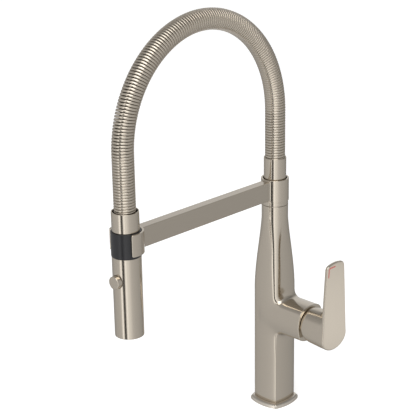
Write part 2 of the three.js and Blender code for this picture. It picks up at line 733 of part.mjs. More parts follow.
function makeArm(stopHole) {
  const hub = rod(hubRadius, hubLow, hubTop);
  const bar = block(
    [-armThickness / 2, -reach + dockOuter - 0.5, armLow],
    [armThickness / 2, -hubBore + 1, armTop],
  );
  const dockClear = rod(dockOuter + fit, armLow - 1, armTop + 1).translate([0, -reach, 0]);
  // From the dock's axis: the magnet lies behind the ring in a room of the arm's end.
  const magnetLow = armMiddle + magnetRise - magnetHeight / 2;
  const magnetAt = (room) => block(
    [-magnetWidth / 2 - room, -reach + dockOuter + fit - room, magnetLow - room],
    [magnetWidth / 2 + room, -reach + dockOuter + fit + magnetDepth + room, magnetLow + magnetHeight + room],
  );
  const screwHeight = armMiddle - dockScrewDrop;
  const screwEnd = dockOuter + dockScrewGrip;
  const grubHeight = hubTop - grubBelowHubTop;
  add('support_arm', cut(
    join(hub, bar),
    dockClear,
    rod(hubBore, hubLow + hubFloor, hubTop + 1),
    rod(bushOuter + fit, hubLow - 1, hubTop + 1),
    stopHole,
    alongY(rod(grubRadius + fit, 0, hubRadius + 2, SMALL), grubHeight),
    magnetAt(fit),
    alongY(rod(dockScrewRadius + fit, dockInner, screwEnd + fit, SMALL), screwHeight)
      .translate([0, -reach, 0]),
  ), nickel);
  add('dock_magnet', magnetAt(0), magnet);

  // The screw's sunk head lies just inside the ring's wall.
  const headWide = dockScrewRadius + 1.1;
  const sunk = alongY(turned([
    [0, dockInner - 1],
    [headWide + fit, dockInner - 1],
    [headWide + fit, dockInner + 0.4],
    [dockScrewRadius + fit, dockInner + 1.8],
    [dockScrewRadius + fit, dockOuter + 1],
    [0, dockOuter + 1],
  ], SMALL), screwHeight);
  const dock = ringSector(dockOuter, dockInner, dockOpening - 90, 270 - dockOpening, dockLow, dockHigh);
  add('dock_ring', cut(dock, sunk).translate([0, -reach, 0]), nickel);
  const dockScrew = alongY(turned([
    [0, dockInner + 0.3],
    [headWide, dockInner + 0.3],
    [headWide, dockInner + 0.5],
    [dockScrewRadius, dockInner + 1.6],
    [dockScrewRadius, screwEnd],
    [0, screwEnd],
  ], SMALL), screwHeight);
  add('dock_screw', dockScrew.translate([0, -reach, 0]), steel);

  const sleeveFoot = hubLow + hubFloor + fit;
  const grubTip = sleeveRadius - 0.4;
  const dent = alongY(rod(grubRadius + fit, grubTip, hubRadius, SMALL), grubHeight);
  const sleeve = tube(sleeveRadius, sleeveInner, sleeveFoot, hubTop + sleeveAboveHub);
  add('spring_sleeve', cut(sleeve, dent), nickel);
  const grubKey = rod(hexRadius, hubRadius - 2, hubRadius + 1, 6);
  const grub = cut(rod(grubRadius, grubTip + fit, hubRadius - 0.4, SMALL), grubKey);
  add('sleeve_set_screw', alongY(grub, grubHeight), steel);
}

// ---------------------------------------------------------------- spring and inner hose
const collarBottom = dockLow - collarBelowDock;
const collarTop = dockHigh + fit;
const ferruleLow = collarTop + fit;
const springSeat = ferruleLow + ferruleFloor + fit;
const fittingTop = ferruleLow - 0.5;
const hoseEnd = fittingTop + fit;

// A centreline over the arch: up the column side, half an ellipse, and down the head side.
class Arch extends THREE.Curve {
  constructor(start, end) {
    super();
    this.start = start;
    this.end = end;
    this.up = max(0, archSpringing - start);
    this.down = max(0, archSpringing - end);
    this.round = PI * (reach / 4 + archRise / 2);
  }

  getPoint(t, target = new THREE.Vector3()) {
    const along = t * (this.up + this.round + this.down);
    if (along < this.up) return target.set(0, 0, this.start + along);
    const past = along - this.up - this.round;
    if (past > 0) return target.set(0, -reach, archSpringing - past);
    const angle = (PI * (along - this.up)) / this.round;
    const y = -(reach / 2) * (1 - cos(angle));
    return target.set(0, y, archSpringing + archRise * sin(angle));
  }
}

function pipe(curve, outer, inner, count, steps) {
  const ring = new THREE.Shape();
  const hole = new THREE.Path();
  // The hole's flats, not its corners, are the stated radius from the centreline.
  for (const [path, radius] of [[ring, outer], [hole, inner / cos(PI / count)]]) {
    const points = Array.from({ length: count }, (_, i) => {
      const angle = (2 * PI * i) / count;
      return new THREE.Vector2(radius * cos(angle), radius * sin(angle));
    });
    path.setFromPoints(points).closePath();
  }
  ring.holes.push(hole);
  return solid(new THREE.ExtrudeGeometry(ring, { steps, extrudePath: curve, bevelEnabled: false }));
}

function makeSpringAndHose() {
  const inner = springRadius - wireThickness;
  const dropTop = archSpringing - fit;
  add('spring_arch', pipe(new Arch(springFoot, archSpringing), springRadius, inner, 12, 36), nickel);
  const drop = tube(springRadius, inner, springSeat, dropTop, MEDIUM).translate([0, -reach, 0]);
  add('spring_drop', drop, nickel);
  const hose = pipe(new Arch(hoseFoot, hoseEnd), hoseRadius, hoseRadius - hoseWall, 8, 40);
  add('inner_hose', hose, greyPlastic);
  const crimpInner = hoseRadius + fit;
  const crimp = (low) => tube(crimpInner + crimpWall, crimpInner, low, low + crimpLength, MEDIUM);
  add('upper_hose_crimp', crimp(hoseFoot + fit), steel);
  add('lower_hose_crimp', crimp(hoseEnd + fit).translate([0, -reach, 0]), steel);
}

// ---------------------------------------------------------------- spray head, in its own frame
// The head's frame stands on the head's axis, and -Y is the way that the button faces.
const shellTop = collarBottom - fit;
const headBottom = collarBottom - headLength;
const buttonHeight = collarBottom - buttonBelowCollar;
const spigotLow = collarBottom + 5;
const skirtInner = fittingCollar + fit;
const skirtOuter = skirtInner + skirtWall;
const skirtLow = ferruleLow - skirtDrop;
const coreRadius = headRadius - headWall - fit;
const coreNeck = skirtOuter - fit;
const faceLow = headBottom + faceInset;
const faceHigh = faceLow + faceThickness;
const matHigh = faceHigh + fit + matThickness;
const coreLow = matHigh + fit;
const chamberTop = coreLow + 9;
const aeratorBore = aeratorRadius + fit;
const aeratorTop = faceLow + 12;
const aeratorBelowFace = 0.4; // its screen stands this far inside the face
const pocketDepth = buttonFace - buttonPocket;

function nozzlePlaces() {
  const step = (coreRadius - aeratorBore) / (nozzleRings.length + 1);
  return nozzleRings.flatMap((count, ring) => Array.from({ length: count }, (_, i) => {
    const angle = (2 * PI * i) / count;
    const radius = aeratorBore + step * (ring + 1);
    return [radius * cos(angle), radius * sin(angle), 0];
  }));
}

const alongButton = (piece) => piece.rotate([90, 0, 0]).translate([0, 0, buttonHeight]);

function makeHoseEnd(place) {
  const ferruleInner = springRadius + ferruleGap;
  const ferruleRadius = ferruleInner + ferruleWall;
  const ferruleTop = ferruleLow + ferruleHeight;
  const edge = 0.4; // chamfer of the rim
  add('spring_ferrule', turned([
    [skirtInner, skirtLow],
    [skirtOuter, skirtLow],
    [skirtOuter, ferruleLow],
    [ferruleRadius, ferruleLow],
    [ferruleRadius, ferruleTop - edge],
    [ferruleRadius - edge, ferruleTop],
    [ferruleInner, ferruleTop],
    [ferruleInner, ferruleLow + ferruleFloor],
    [skirtInner, ferruleLow + ferruleFloor],
  ]), nickel, place);
  const sealLow = spigotLow + 3;
  add('hose_end_fitting', turned([
    [stemBore, spigotLow],
    [spigotRadius, spigotLow],
    [spigotRadius, sealLow],
    [spigotRadius - sealThickness - fit, sealLow],
    [spigotRadius - sealThickness - fit, sealLow + 2 * sealThickness],
    [spigotRadius, sealLow + 2 * sealThickness],
    [spigotRadius, skirtLow + 0.5],
    [fittingCollar, skirtLow + 0.5],
    [fittingCollar, fittingTop],
    [nippleRadius, fittingTop],
    [nippleRadius, fittingTop + nippleLength],
    [stemBore, fittingTop + nippleLength],
  ], MEDIUM), brass, place);
  const seal = roundSeal(spigotRadius - sealThickness / 2, sealThickness, sealLow + sealThickness);
  add('fitting_seal', seal, rubber, place);
}

function makeCollar(place) {
  const magnetOuter = collarRadius - collarMagnetStep;
  const magnetTop = collarTop - collarCap;
  add('dock_collar', turned([
    [magnetOuter + fit, collarBottom],
    [collarRadius, collarBottom],
    [collarRadius, collarTop],
    [skirtOuter + play, collarTop],
    [skirtOuter + play, magnetTop + fit],
    [magnetOuter + fit, magnetTop + fit],
  ]), blackPlastic, place);
  add('collar_magnet', tube(magnetOuter, coreNeck + fit, collarBottom + 1, magnetTop), magnet, place);
}

function makeHead(place) {
  const edge = 0.8; // chamfer of the lower rim
  const shell = turned([
    [headRadius - headWall, headBottom],
    [headRadius - edge, headBottom],
    [headRadius, headBottom + edge],
    [headRadius, shellTop],
    [headRadius - headWall, shellTop],
  ]);
  const buttonHole = alongButton(rod(buttonRadius + play, 0, headRadius + 2, MEDIUM));
  add('spray_body', cut(shell, buttonHole), nickel, place);

  // The core leads the water from the inlet to the diverter, and from there to aerator or nozzles.
  const core = turned([
    [0, coreLow],
    [coreRadius, coreLow],
    [coreRadius, shellTop],
    [coreNeck, shellTop],
    [coreNeck, skirtLow - fit],
    [0, skirtLow - fit],
  ]);
  const nozzleWay = rod(1.8, chamberTop - 1, buttonHeight, SMALL).translate([0, coreRadius / 2, 0]);
  add('water_core', cut(
    core,
    tube(coreRadius - 1.4, aeratorBore + 1.3, coreLow - 1, chamberTop),
    rod(aeratorBore, coreLow - 1, aeratorTop + 2),
    rod(3, aeratorTop, buttonHeight, MEDIUM),
    rod(spoolRadius + fit, buttonHeight, spigotLow - 1, MEDIUM),
    rod(spigotRadius + play, spigotLow - 2, skirtLow + 1, MEDIUM),
    alongButton(rod(spoolRadius + play, -9, pocketDepth + 1, MEDIUM)),
    alongButton(rod(buttonRadius + 2 * play, pocketDepth, headRadius + 2, MEDIUM)),
    nozzleWay,
  ), greyPlastic, place);
  const valveLow = buttonHeight + spoolRadius + 4;
  add('check_valve', tube(spoolRadius, 1.8, valveLow, valveLow + 9, MEDIUM), whitePlastic, place);
}

function makeSprayFace(place) {
  let face = tube(coreRadius, aeratorBore, faceLow, faceHigh);
  let mat = tube(coreRadius, aeratorBore, faceHigh + fit, matHigh);
  for (const at of nozzlePlaces()) {
    face = cut(face, rod(nozzleHole, faceLow - 1, faceHigh + 1, 6).translate(at));
    mat = join(mat, rod(nozzleHole - fit, faceLow - fit, faceHigh + 1, 6).translate(at));
  }
  add('spray_face', face, greyPlastic, place);
  add('nozzle_mat', mat, rubber, place);
  const count = 8;
  const holeRadius = 1.1;
  const weirs = Array.from({ length: count }, (_, i) => {
    const angle = (2 * PI * i) / count;
    const ring = aeratorRadius * 0.6;
    return rod(holeRadius, faceLow, aeratorTop + 1, 8).translate([ring * cos(angle), ring * sin(angle), 0]);
  });
  const aerator = rod(aeratorRadius, faceLow + aeratorBelowFace, aeratorTop, MEDIUM);
  add('aerator', cut(aerator, rod(holeRadius, faceLow, aeratorTop + 1, 8), ...weirs), whitePlastic, place);
}

function makeButton(place) {
  const backDepth = pocketDepth + buttonTravel + 2 * fit; // the cup's rim, which the pocket's floor stops
  const cupInner = spoolRadius + fit + coilThickness + 2 * fit;
  const edge = 0.6;
  const cup = turned([
    [cupInner, backDepth],
    [buttonRadius, backDepth],
    [buttonRadius, buttonFace - edge],
    [buttonRadius - edge, buttonFace],
    [0, buttonFace],
    [0, buttonFace - buttonWall],
    [cupInner, buttonFace - buttonWall],
  ], MEDIUM);
  add('spray_button', alongButton(cup), nickel, place);
  const spoolEnd = buttonFace - buttonWall - fit;
  const waist = 1.4;
  const spool = turned([
    [0, -4],
    [spoolRadius, -4],
    [spoolRadius, -1],
    [spoolRadius - waist, -1],
    [spoolRadius - waist, 4],
    [spoolRadius, 4],
    [spoolRadius, spoolEnd],
    [0, spoolEnd],
  ], MEDIUM);
  add('diverter_spool', alongButton(spool), whitePlastic, place);
  const coilInner = spoolRadius + fit;
  const coil = tube(coilInner + coilThickness, coilInner, pocketDepth + fit, spoolEnd, SMALL);
  add('button_spring', alongButton(coil), steel, place);
}

// ---------------------------------------------------------------- assembly
makeBase();
makeColumn();
makeWaterPath();
makeCartridge();
makeLever();
makeArm(makeSwivel());
makeSpringAndHose();

const head = new THREE.Group();
head.position.set(0, -reach, 0);
head.rotation.z = rad(headTurn);
faucet.add(head);
makeHoseEnd(head);
makeCollar(head);
makeHead(head);
makeSprayFace(head);
makeButton(head);

export default faucet;
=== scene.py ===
# %% [markdown]
# # A pull-down kitchen faucet in brushed nickel
# The engineering model already says where every piece is and how big it is. It comes in first, as a fixed
# frame, and the visible pieces are built around it. Its box is kept, so that the finished faucet can be
# compared with it at the end.

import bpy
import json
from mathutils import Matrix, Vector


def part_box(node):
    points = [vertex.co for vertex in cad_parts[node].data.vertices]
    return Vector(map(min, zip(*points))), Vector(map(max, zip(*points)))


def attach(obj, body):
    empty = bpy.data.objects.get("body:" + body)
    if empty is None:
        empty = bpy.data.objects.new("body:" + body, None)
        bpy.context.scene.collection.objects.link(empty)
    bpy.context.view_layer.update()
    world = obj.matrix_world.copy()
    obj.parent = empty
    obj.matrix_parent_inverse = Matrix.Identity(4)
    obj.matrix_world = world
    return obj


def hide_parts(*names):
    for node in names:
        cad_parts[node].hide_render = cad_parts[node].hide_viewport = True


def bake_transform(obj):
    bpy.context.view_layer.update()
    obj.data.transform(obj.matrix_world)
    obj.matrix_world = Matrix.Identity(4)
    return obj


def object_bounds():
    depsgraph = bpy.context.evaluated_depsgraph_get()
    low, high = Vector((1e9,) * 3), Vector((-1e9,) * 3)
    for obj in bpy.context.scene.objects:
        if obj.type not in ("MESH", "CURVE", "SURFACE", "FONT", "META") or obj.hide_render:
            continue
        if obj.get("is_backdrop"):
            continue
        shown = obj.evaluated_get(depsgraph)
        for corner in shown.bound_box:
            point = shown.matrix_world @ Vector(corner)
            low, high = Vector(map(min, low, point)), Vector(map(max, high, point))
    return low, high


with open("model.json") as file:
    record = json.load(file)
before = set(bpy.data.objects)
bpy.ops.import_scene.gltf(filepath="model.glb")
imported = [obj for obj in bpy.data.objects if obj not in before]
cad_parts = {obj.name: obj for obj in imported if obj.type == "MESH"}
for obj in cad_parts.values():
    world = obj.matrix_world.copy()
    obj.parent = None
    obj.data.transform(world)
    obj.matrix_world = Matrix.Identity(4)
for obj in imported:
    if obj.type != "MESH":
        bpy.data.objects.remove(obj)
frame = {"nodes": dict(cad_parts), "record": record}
cad_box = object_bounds()

# %% [markdown]
# Fittings like this are drawn in millimetres, and Blender works in metres. All sizes below are millimetres,
# and they turn into metres in one place, where a mesh is made. The places come from the frame wherever it
# can tell them: the lowest and highest corners of a node give its height, its radius and its axis.

# %% Millimetres and the main axes
import json
import math

import bmesh
import bpy
import numpy as np
from mathutils import Matrix, Vector

MM = 0.001


def cad(node):
    low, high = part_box(node)
    return np.array(low) / MM, np.array(high) / MM


hub_low, hub_high = cad("support_arm")
dock_low, dock_high = cad("dock_ring")
boss_dome_low, boss_dome_high = cad("dome_ring")
reach = (dock_high[0] - dock_low[0]) / 2 - dock_high[1]
hub_radius = hub_high[0]
boss_height = (boss_dome_low[2] + boss_dome_high[2]) / 2
print(f"reach {reach:.1f} mm, hub radius {hub_radius:.2f} mm, boss axis {boss_height:.1f} mm up")

# %% [markdown]
# Most pieces are made of rows of points with faces between them. A row can be a ring round an axis, a cut
# through the spring's wire or one line of a casting. Writing the rows out gives exact sizes and an even
# flow of faces, which modelling by hand or cutting solids out of each other wouldn't.

# %% Rows of points
def sheet(rows, around=True, along=False):
    """Points and faces between neighbouring rows. around closes each row, along joins last to first."""
    rows = np.asarray(rows, float)
    count, width = rows.shape[:2]
    faces = []
    for i in range(count if along else count - 1):
        for j in range(width if around else width - 1):
            below, above = i * width, (i + 1) % count * width
            beside = (j + 1) % width
            faces.append((below + j, below + beside, above + beside, above + j))
    return rows.reshape(-1, 3), faces


def round_z(radius, angles, height):
    """Points round Z. Radius and height are one value, or one for each point."""
    return np.stack([radius * np.cos(angles), radius * np.sin(angles), height + 0 * angles], -1)


# %% [markdown]
# Where rows of two sheets meet at the same points, they are welded when the mesh is made. The piece then
# rides on its body, gets its finish's slot, and takes the place of the nodes that it stands for.

# %% Sheets to a piece
def add_piece(name, sheets, look, body, stands_for=(), crease=40):
    """A smooth-shaded mesh of welded sheets that rides on a body. Angles over crease stay sharp."""
    points, faces = [], []
    for rows, quads in sheets:
        start = len(points)
        points.extend(rows * MM)
        faces.extend([start + i for i in quad] for quad in quads)
    mesh = bpy.data.meshes.new(name)
    mesh.from_pydata(points, [], faces)
    work = bmesh.new()
    work.from_mesh(mesh)
    bmesh.ops.remove_doubles(work, verts=work.verts, dist=0.001 * MM)
    bmesh.ops.recalc_face_normals(work, faces=work.faces)
    work.to_mesh(mesh)
    work.free()
    mesh.shade_smooth()
    mesh.set_sharp_from_angle(angle=math.radians(crease))
    mesh.materials.append(look)
    piece = bpy.data.objects.new(name, mesh)
    bpy.context.scene.collection.objects.link(piece)
    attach(piece, body)
    if stands_for:
        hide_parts(*stands_for)
    print(f"{name}: {len(mesh.polygons)} faces")
    return piece


# %% [markdown]
# ## Light, floor and camera
# Polished and satin metal has almost no look of its own: it shows the room. A product studio puts tall
# panels round the object, so that every upright cylinder gets bright and dark stripes along its length.
# Real panels could be modelled as lamps. Here the world does their work, because it is lighter to compute
# and reaches below the table too, where upright surfaces seen from a little above find their reflection.
#
# The world and all finishes are made of shader nodes, so a few helpers for those come first.

# %% Shader nodes
def node(tree, kind, inputs=(), **settings):
    """Adds a shader node, sets its options, and fills or connects its inputs."""
    made = tree.nodes.new(kind)
    for name, value in settings.items():
        setattr(made, name, value)
    for name, value in dict(inputs).items():
        if isinstance(value, bpy.types.NodeSocket):
            tree.links.new(value, made.inputs[name])
        else:
            made.inputs[name].default_value = value
    return made


def ramp(tree, value, stops, smooth=True):
    """A colour ramp through grey or coloured stops, each a place from 0 to 1 and its brightness."""
    made = node(tree, "ShaderNodeValToRGB", {"Fac": value})
    scale = made.color_ramp
    scale.interpolation = "EASE" if smooth else "LINEAR"
    while len(scale.elements) < len(stops):
        scale.elements.new(0.5)
    for element, (place, tone) in zip(scale.elements, stops):
        element.position = place
        element.color = (*(tone if isinstance(tone, tuple) else (tone,) * 3), 1)
    return made.outputs["Color"]


def math_node(tree, operation, *values):
    return node(tree, "ShaderNodeMath", dict(enumerate(values)), operation=operation).outputs[0]


# %% [markdown]
# One colour ramp runs once round the horizon and says how bright the room is in each direction, in degrees
# from the way the lever points. The dark gap between two bright panels at -90 and -55 draws the dark line
# down every round piece. A second ramp runs from below to above. The camera itself sees plain white.

# %% The studio as a world
tones = [(-180, 0.42), (-165, 0.48), (-150, 0.56), (-125, 0.6), (-105, 0.66), (-98, 0.8), (-94, 1.2),
         (-90, 1.65), (-86, 1.35), (-80, 0.4), (-77, 0.05), (-66, 0.05), (-60, 0.95), (-55, 1.5), (-49, 1.2),
         (-41, 1.0), (-33, 0.98), (-27, 0.9), (-20, 0.78), (-12, 0.67), (10, 0.58), (45, 0.5), (68, 0.44),
         (84, 0.33), (100, 0.3), (116, 0.7), (135, 0.76), (150, 0.45), (165, 0.38), (180, 0.42)]
heights = [(0, 0.9), (0.3, 1), (0.7, 1), (0.82, 0.7), (1, 0.7)]  # from straight down, 0, to straight up, 1


def build_studio():
    world = bpy.data.worlds.new("studio")
    world.use_nodes = True
    bpy.context.scene.world = world
    tree = world.node_tree
    tree.nodes.clear()
    way = node(tree, "ShaderNodeTexCoord").outputs["Generated"]
    split = node(tree, "ShaderNodeSeparateXYZ", {0: way}).outputs
    turn = math_node(tree, "ARCTAN2", split["Y"], split["X"])
    place = math_node(tree, "MULTIPLY_ADD", turn, 0.5 / math.pi, 0.5)
    around = ramp(tree, place, [((angle + 180) / 360, tone) for angle, tone in tones], smooth=False)
    rise = math_node(tree, "MULTIPLY_ADD", split["Z"], 0.5, 0.5)
    upward = ramp(tree, rise, heights)
    room = node(tree, "ShaderNodeMix", {0: 1.0, "A": around, "B": upward}, data_type="RGBA",
                blend_type="MULTIPLY").outputs["Result"]
    glow = node(tree, "ShaderNodeBackground", {"Color": room, "Strength": 1.0}).outputs[0]
    backdrop = node(tree, "ShaderNodeBackground", {"Color": (1, 1, 1, 1), "Strength": 1.0}).outputs[0]
    seen = node(tree, "ShaderNodeLightPath").outputs["Is Camera Ray"]
    mixed = node(tree, "ShaderNodeMixShader", {0: seen, 1: glow, 2: backdrop}).outputs[0]
    node(tree, "ShaderNodeOutputWorld", {"Surface": mixed})


build_studio()
bpy.context.scene.view_settings.view_transform = "Standard"
print("studio:", len(tones), "tones round the horizon")

# %% [markdown]
# A large soft lamp from above and in front gives the plastics their shading and the faucet a faint contact
# shadow. A second, weak one stands low beside the lever and lights the lever alone. The world is endlessly
# far away, so it can't brighten the lever's flat blade without brightening the column in the same way. The
# floor is a plain pale sheet, wide enough to fill the picture. It glows a little, as a sheet of paper lit
# from below does, so that it stays pale under the soft light.

# %% Lamps and floor
def add_lamp(name, place, aim, power, size):
    """A round lamp. Place, aim and size are in metres."""
    lamp = bpy.data.lights.new(name, "AREA")
    lamp.energy = power
    lamp.shape = "ELLIPSE"
    lamp.size = lamp.size_y = size
    stand = bpy.data.objects.new(name, lamp)
    stand.location = place
    stand.rotation_euler = (Vector(aim) - stand.location).to_track_quat("-Z", "Y").to_euler()
    stand.visible_camera = False
    bpy.context.scene.collection.objects.link(stand)
    return stand


def build_floor():
    paper = bpy.data.materials.new("pale_floor")
    paper.use_nodes = True
    tree = paper.node_tree
    shader = tree.nodes["Principled BSDF"]
    grain = node(tree, "ShaderNodeTexNoise", {"Scale": 40.0, "Detail": 3.0}).outputs["Fac"]
    tree.links.new(ramp(tree, grain, [(0.3, 0.86), (0.7, 0.88)]), shader.inputs["Base Color"])
    for title, value in (("Roughness", 0.9), ("Emission Color", (1, 1, 1, 1)), ("Emission Strength", 0.6)):
        shader.inputs[title].default_value = value
    half = 6.0
    corners = [(-half, -half, 0), (half, -half, 0), (half, half, 0), (-half, half, 0)]
    mesh = bpy.data.meshes.new("floor")
    mesh.from_pydata(corners, [], [(0, 1, 2, 3)])
    mesh.materials.append(paper)
    floor = bpy.data.objects.new("floor", mesh)
    floor.visible_glossy = False
    bpy.context.scene.collection.objects.link(floor)
    floor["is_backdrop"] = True


build_floor()
faucet_middle = (0, -reach / 2 * MM, boss_height * MM)
add_lamp("key_lamp", (0.9, -1.2, 2.2), faucet_middle, power=24, size=2.4)
blade_lamp = add_lamp("blade_lamp", (0.295, 0.222, 0.015), (0.095, 0, 0.155), power=0.046, size=0.2)
blade_lamp.light_linking.receiver_collection = bpy.data.collections.new("lit_by_blade_lamp")

# %% [markdown]
# The camera stands before the corner between spout and lever, a little higher than the faucet, and looks
# down at its middle. A long lens from nearly a metre and a half away keeps uprights nearly parallel, as
# catalogue pictures do. The direction is set by two angles and a slight roll instead of by a target
# constraint, so that it stays exact.

# %% Camera
azimuth, elevation, roll = (math.radians(angle) for angle in (44.733, 19.621, -0.911))
distance = 1430.3
look_at = np.array((0, -114.59, 287.27))
focal_length = 108.883
sensor_width = 36


def build_camera():
    right = np.array((math.cos(azimuth), math.sin(azimuth), 0))
    level = math.cos(elevation)
    back = np.array((math.sin(azimuth) * level, -math.cos(azimuth) * level, math.sin(elevation)))
    up = np.cross(back, right)
    turned_right = math.cos(roll) * right + math.sin(roll) * up
    turned_up = math.cos(roll) * up - math.sin(roll) * right
    spot = (look_at + distance * back) * MM
    lens = bpy.data.cameras.new("camera")
    lens.sensor_width = sensor_width
    lens.lens = focal_length
    lens.clip_start = 0.05
    stand = bpy.data.objects.new("camera", lens)
    axes = np.column_stack([turned_right, turned_up, back, spot])
    stand.matrix_world = Matrix([*axes.tolist(), [0, 0, 0, 1]])
    bpy.context.scene.collection.objects.link(stand)
    bpy.context.scene.camera = stand
    print(f"camera {np.round(spot, 3)} m, lens {focal_length:.0f} mm")


build_camera()

# %% [markdown]
# ## Finishes
# Brushed nickel is a plated coat that was rubbed with an abrasive belt. It keeps very fine parallel lines,
# which scatter the light across them, and slow changes of tone where the belt pressed harder. One shader
# group makes both effects for all the metals: it stretches a noise along the lines and adds a broad cloudy
# noise. It gives out a colour, a roughness and a height, and each metal puts in its own tint and line
# direction. A picture texture could do it too, but it would need unwrapped surfaces and blurs close up.

# %% Shader groups
def group(name, inputs, outputs):
    """An empty shader group with named sockets, and its input and output nodes."""
    tree = bpy.data.node_groups.new(name, "ShaderNodeTree")
    for title, kind, value in inputs:
        socket = tree.interface.new_socket(title, in_out="INPUT", socket_type=f"NodeSocket{kind}")
        socket.default_value = value
    for title, kind in outputs:
        tree.interface.new_socket(title, in_out="OUTPUT", socket_type=f"NodeSocket{kind}")
    return tree, tree.nodes.new("NodeGroupInput").outputs, tree.nodes.new("NodeGroupOutput")


def noise(tree, spot, scale, detail=2.0):
    return node(tree, "ShaderNodeTexNoise", {"Vector": spot, "Scale": scale, "Detail": detail}).outputs["Fac"]


def give_out(tree, given, out, swing, gloss, height):
    """Connects a group's outputs. The tint and, times gloss, the roughness go up and down with swing."""
    bright = math_node(tree, "ADD", swing, 1.0)
    color = node(tree, "ShaderNodeVectorMath", {0: given["Tint"], 1: bright}, operation="MULTIPLY").outputs[0]
    rough = math_node(tree, "ADD", given["Roughness"], math_node(tree, "MULTIPLY", swing, gloss))
    for title, value in (("Color", color), ("Roughness", rough), ("Height", height)):
        tree.links.new(value, out.inputs[title])
    return tree


effect_outputs = [("Color", "Color"), ("Roughness", "Float"), ("Height", "Float")]


# %% Shader group for brushed metal
def build_brushing():
    inputs = [("Tint", "Color", (0.64, 0.6, 0.54, 1)), ("Lines", "Vector", (60, 60, 3000)),
              ("Roughness", "Float", 0.25), ("Contrast", "Float", 0.1)]
    tree, given, out = group("brushing", inputs, effect_outputs)
    spot = node(tree, "ShaderNodeTexCoord").outputs["Object"]
    drawn = node(tree, "ShaderNodeVectorMath", {0: spot, 1: given["Lines"]}, operation="MULTIPLY").outputs[0]
    lines = noise(tree, drawn, 1.0, detail=4.0)
    cloud = noise(tree, spot, 22.0)
    line_part = math_node(tree, "MULTIPLY", lines, 0.7)
    cloud_part = math_node(tree, "MULTIPLY", cloud, 0.3)
    both = math_node(tree, "ADD", line_part, cloud_part)
    swing = math_node(tree, "MULTIPLY", math_node(tree, "SUBTRACT", both, 0.5), given["Contrast"])
    return give_out(tree, given, out, swing, 0.6, lines)


brushing = build_brushing()
print("group:", brushing.name)

# %% [markdown]
# A metal is then the standard surface shader with full metallic and the group's three outputs. The bump is
# tiny, a thousandth of a millimetre or two, because brushing is felt more than seen.

# %% Metals
def finish(name, slot, effect, values, bump, depth):
    """A surface material with a group's colour and roughness, and a bump of its height."""
    look = bpy.data.materials.new(name)
    look.use_nodes = True
    look["slot"] = slot
    tree = look.node_tree
    shader = tree.nodes["Principled BSDF"]
    worked = node(tree, "ShaderNodeGroup", values, node_tree=effect).outputs
    bumped = {"Height": worked["Height"], "Strength": bump, "Distance": depth * MM}
    raised = node(tree, "ShaderNodeBump", bumped).outputs["Normal"]
    fed = {"Base Color": worked["Color"], "Roughness": worked["Roughness"], "Normal": raised}
    for title, value in fed.items():
        tree.links.new(value, shader.inputs[title])
    return look, shader


def metal(name, slot, tint, lines=(60, 60, 3000), roughness=0.16, contrast=0.12, bump=0.08):
    values = {"Tint": (*tint, 1), "Lines": lines, "Roughness": roughness, "Contrast": contrast}
    look, shader = finish(name, slot, brushing, values, bump, depth=0.02)
    shader.inputs["Metallic"].default_value = 1.0
    return look


nickel_tint = (0.63, 0.566, 0.478)
nickel = metal("nickel_round", "brushed_nickel", nickel_tint)
# The bar's darker tint is painted shade on the same nickel.
nickel_bar_painted_shade = metal("nickel_bar_painted_shade", "brushed_nickel", (0.56, 0.503, 0.425), (2600, 60, 2600), roughness=0.2)
nickel_lever = metal("nickel_lever", "brushed_nickel", nickel_tint, (60, 2600, 60), roughness=0.18)
# The blade face's lighter tint is a painted highlight on the same nickel.
nickel_face_painted_light = metal("nickel_face_painted_light", "brushed_nickel", (0.71, 0.638, 0.539), (60, 2600, 60), roughness=0.33)
# The flange's lighter tint is a painted highlight on the same nickel.
nickel_foot_painted_light = metal("nickel_foot_painted_light", "brushed_nickel", (0.8, 0.735, 0.65), roughness=0.26)
nickel_wire = metal("nickel_wire", "brushed_nickel", nickel_tint, (400, 400, 400), roughness=0.24, bump=0.02)
brass = metal("brass", "brass", (0.69, 0.52, 0.27), (60, 60, 1500), 0.32, 0.16)
copper = metal("copper", "copper", (0.72, 0.43, 0.3), (900, 900, 60), 0.3, 0.14)
steel = metal("steel", "steel", (0.6, 0.6, 0.59), (900, 900, 900), 0.3, 0.12)
magnet = metal("magnet", "magnet", (0.33, 0.33, 0.35), (700, 700, 700), 0.34, 0.1)

# %% [markdown]
# Plastics, rubber and ceramic aren't brushed. They come out of moulds and kilns with a fine grain, so their
# group has only a speckle for the height and a slow change of tone and gloss.

# %% Shader group and materials for moulded pieces
def build_moulding():
    inputs = [("Tint", "Color", (0.5, 0.5, 0.5, 1)), ("Grain", "Float", 1500.0), ("Roughness", "Float", 0.4)]
    tree, given, out = group("moulding", inputs, effect_outputs)
    spot = node(tree, "ShaderNodeTexCoord").outputs["Object"]
    grain = noise(tree, spot, given["Grain"])
    cloud = noise(tree, spot, 35.0)
    swing = math_node(tree, "MULTIPLY", math_node(tree, "SUBTRACT", cloud, 0.5), 0.16)
    return give_out(tree, given, out, swing, 0.75, grain)


moulding = build_moulding()


def moulded(name, slot, tint, grain=1500.0, roughness=0.4, bump=0.1, coat=0.0):
    values = {"Tint": (*tint, 1), "Grain": grain, "Roughness": roughness}
    look, shader = finish(name, slot, moulding, values, bump, depth=0.05)
    shader.inputs["Coat Weight"].default_value = coat
    return look


black_plastic = moulded("black_plastic", "black_plastic", (0.014, 0.014, 0.016), 900, 0.3)
grey_plastic = moulded("grey_plastic", "grey_plastic", (0.26, 0.26, 0.255), 1200, 0.45)
white_plastic = moulded("white_plastic", "white_plastic", (0.8, 0.79, 0.75), 1200, 0.45)
rubber = moulded("rubber", "rubber", (0.02, 0.02, 0.02), 2200, 0.75, 0.2)
ceramic = moulded("ceramic", "ceramic", (0.86, 0.85, 0.81), 400, 0.2, 0.02, 0.3)
enamel = moulded("red_enamel", "red_mark", (0.52, 0.13, 0.11), 300, 0.3, 0.02, 0.2)

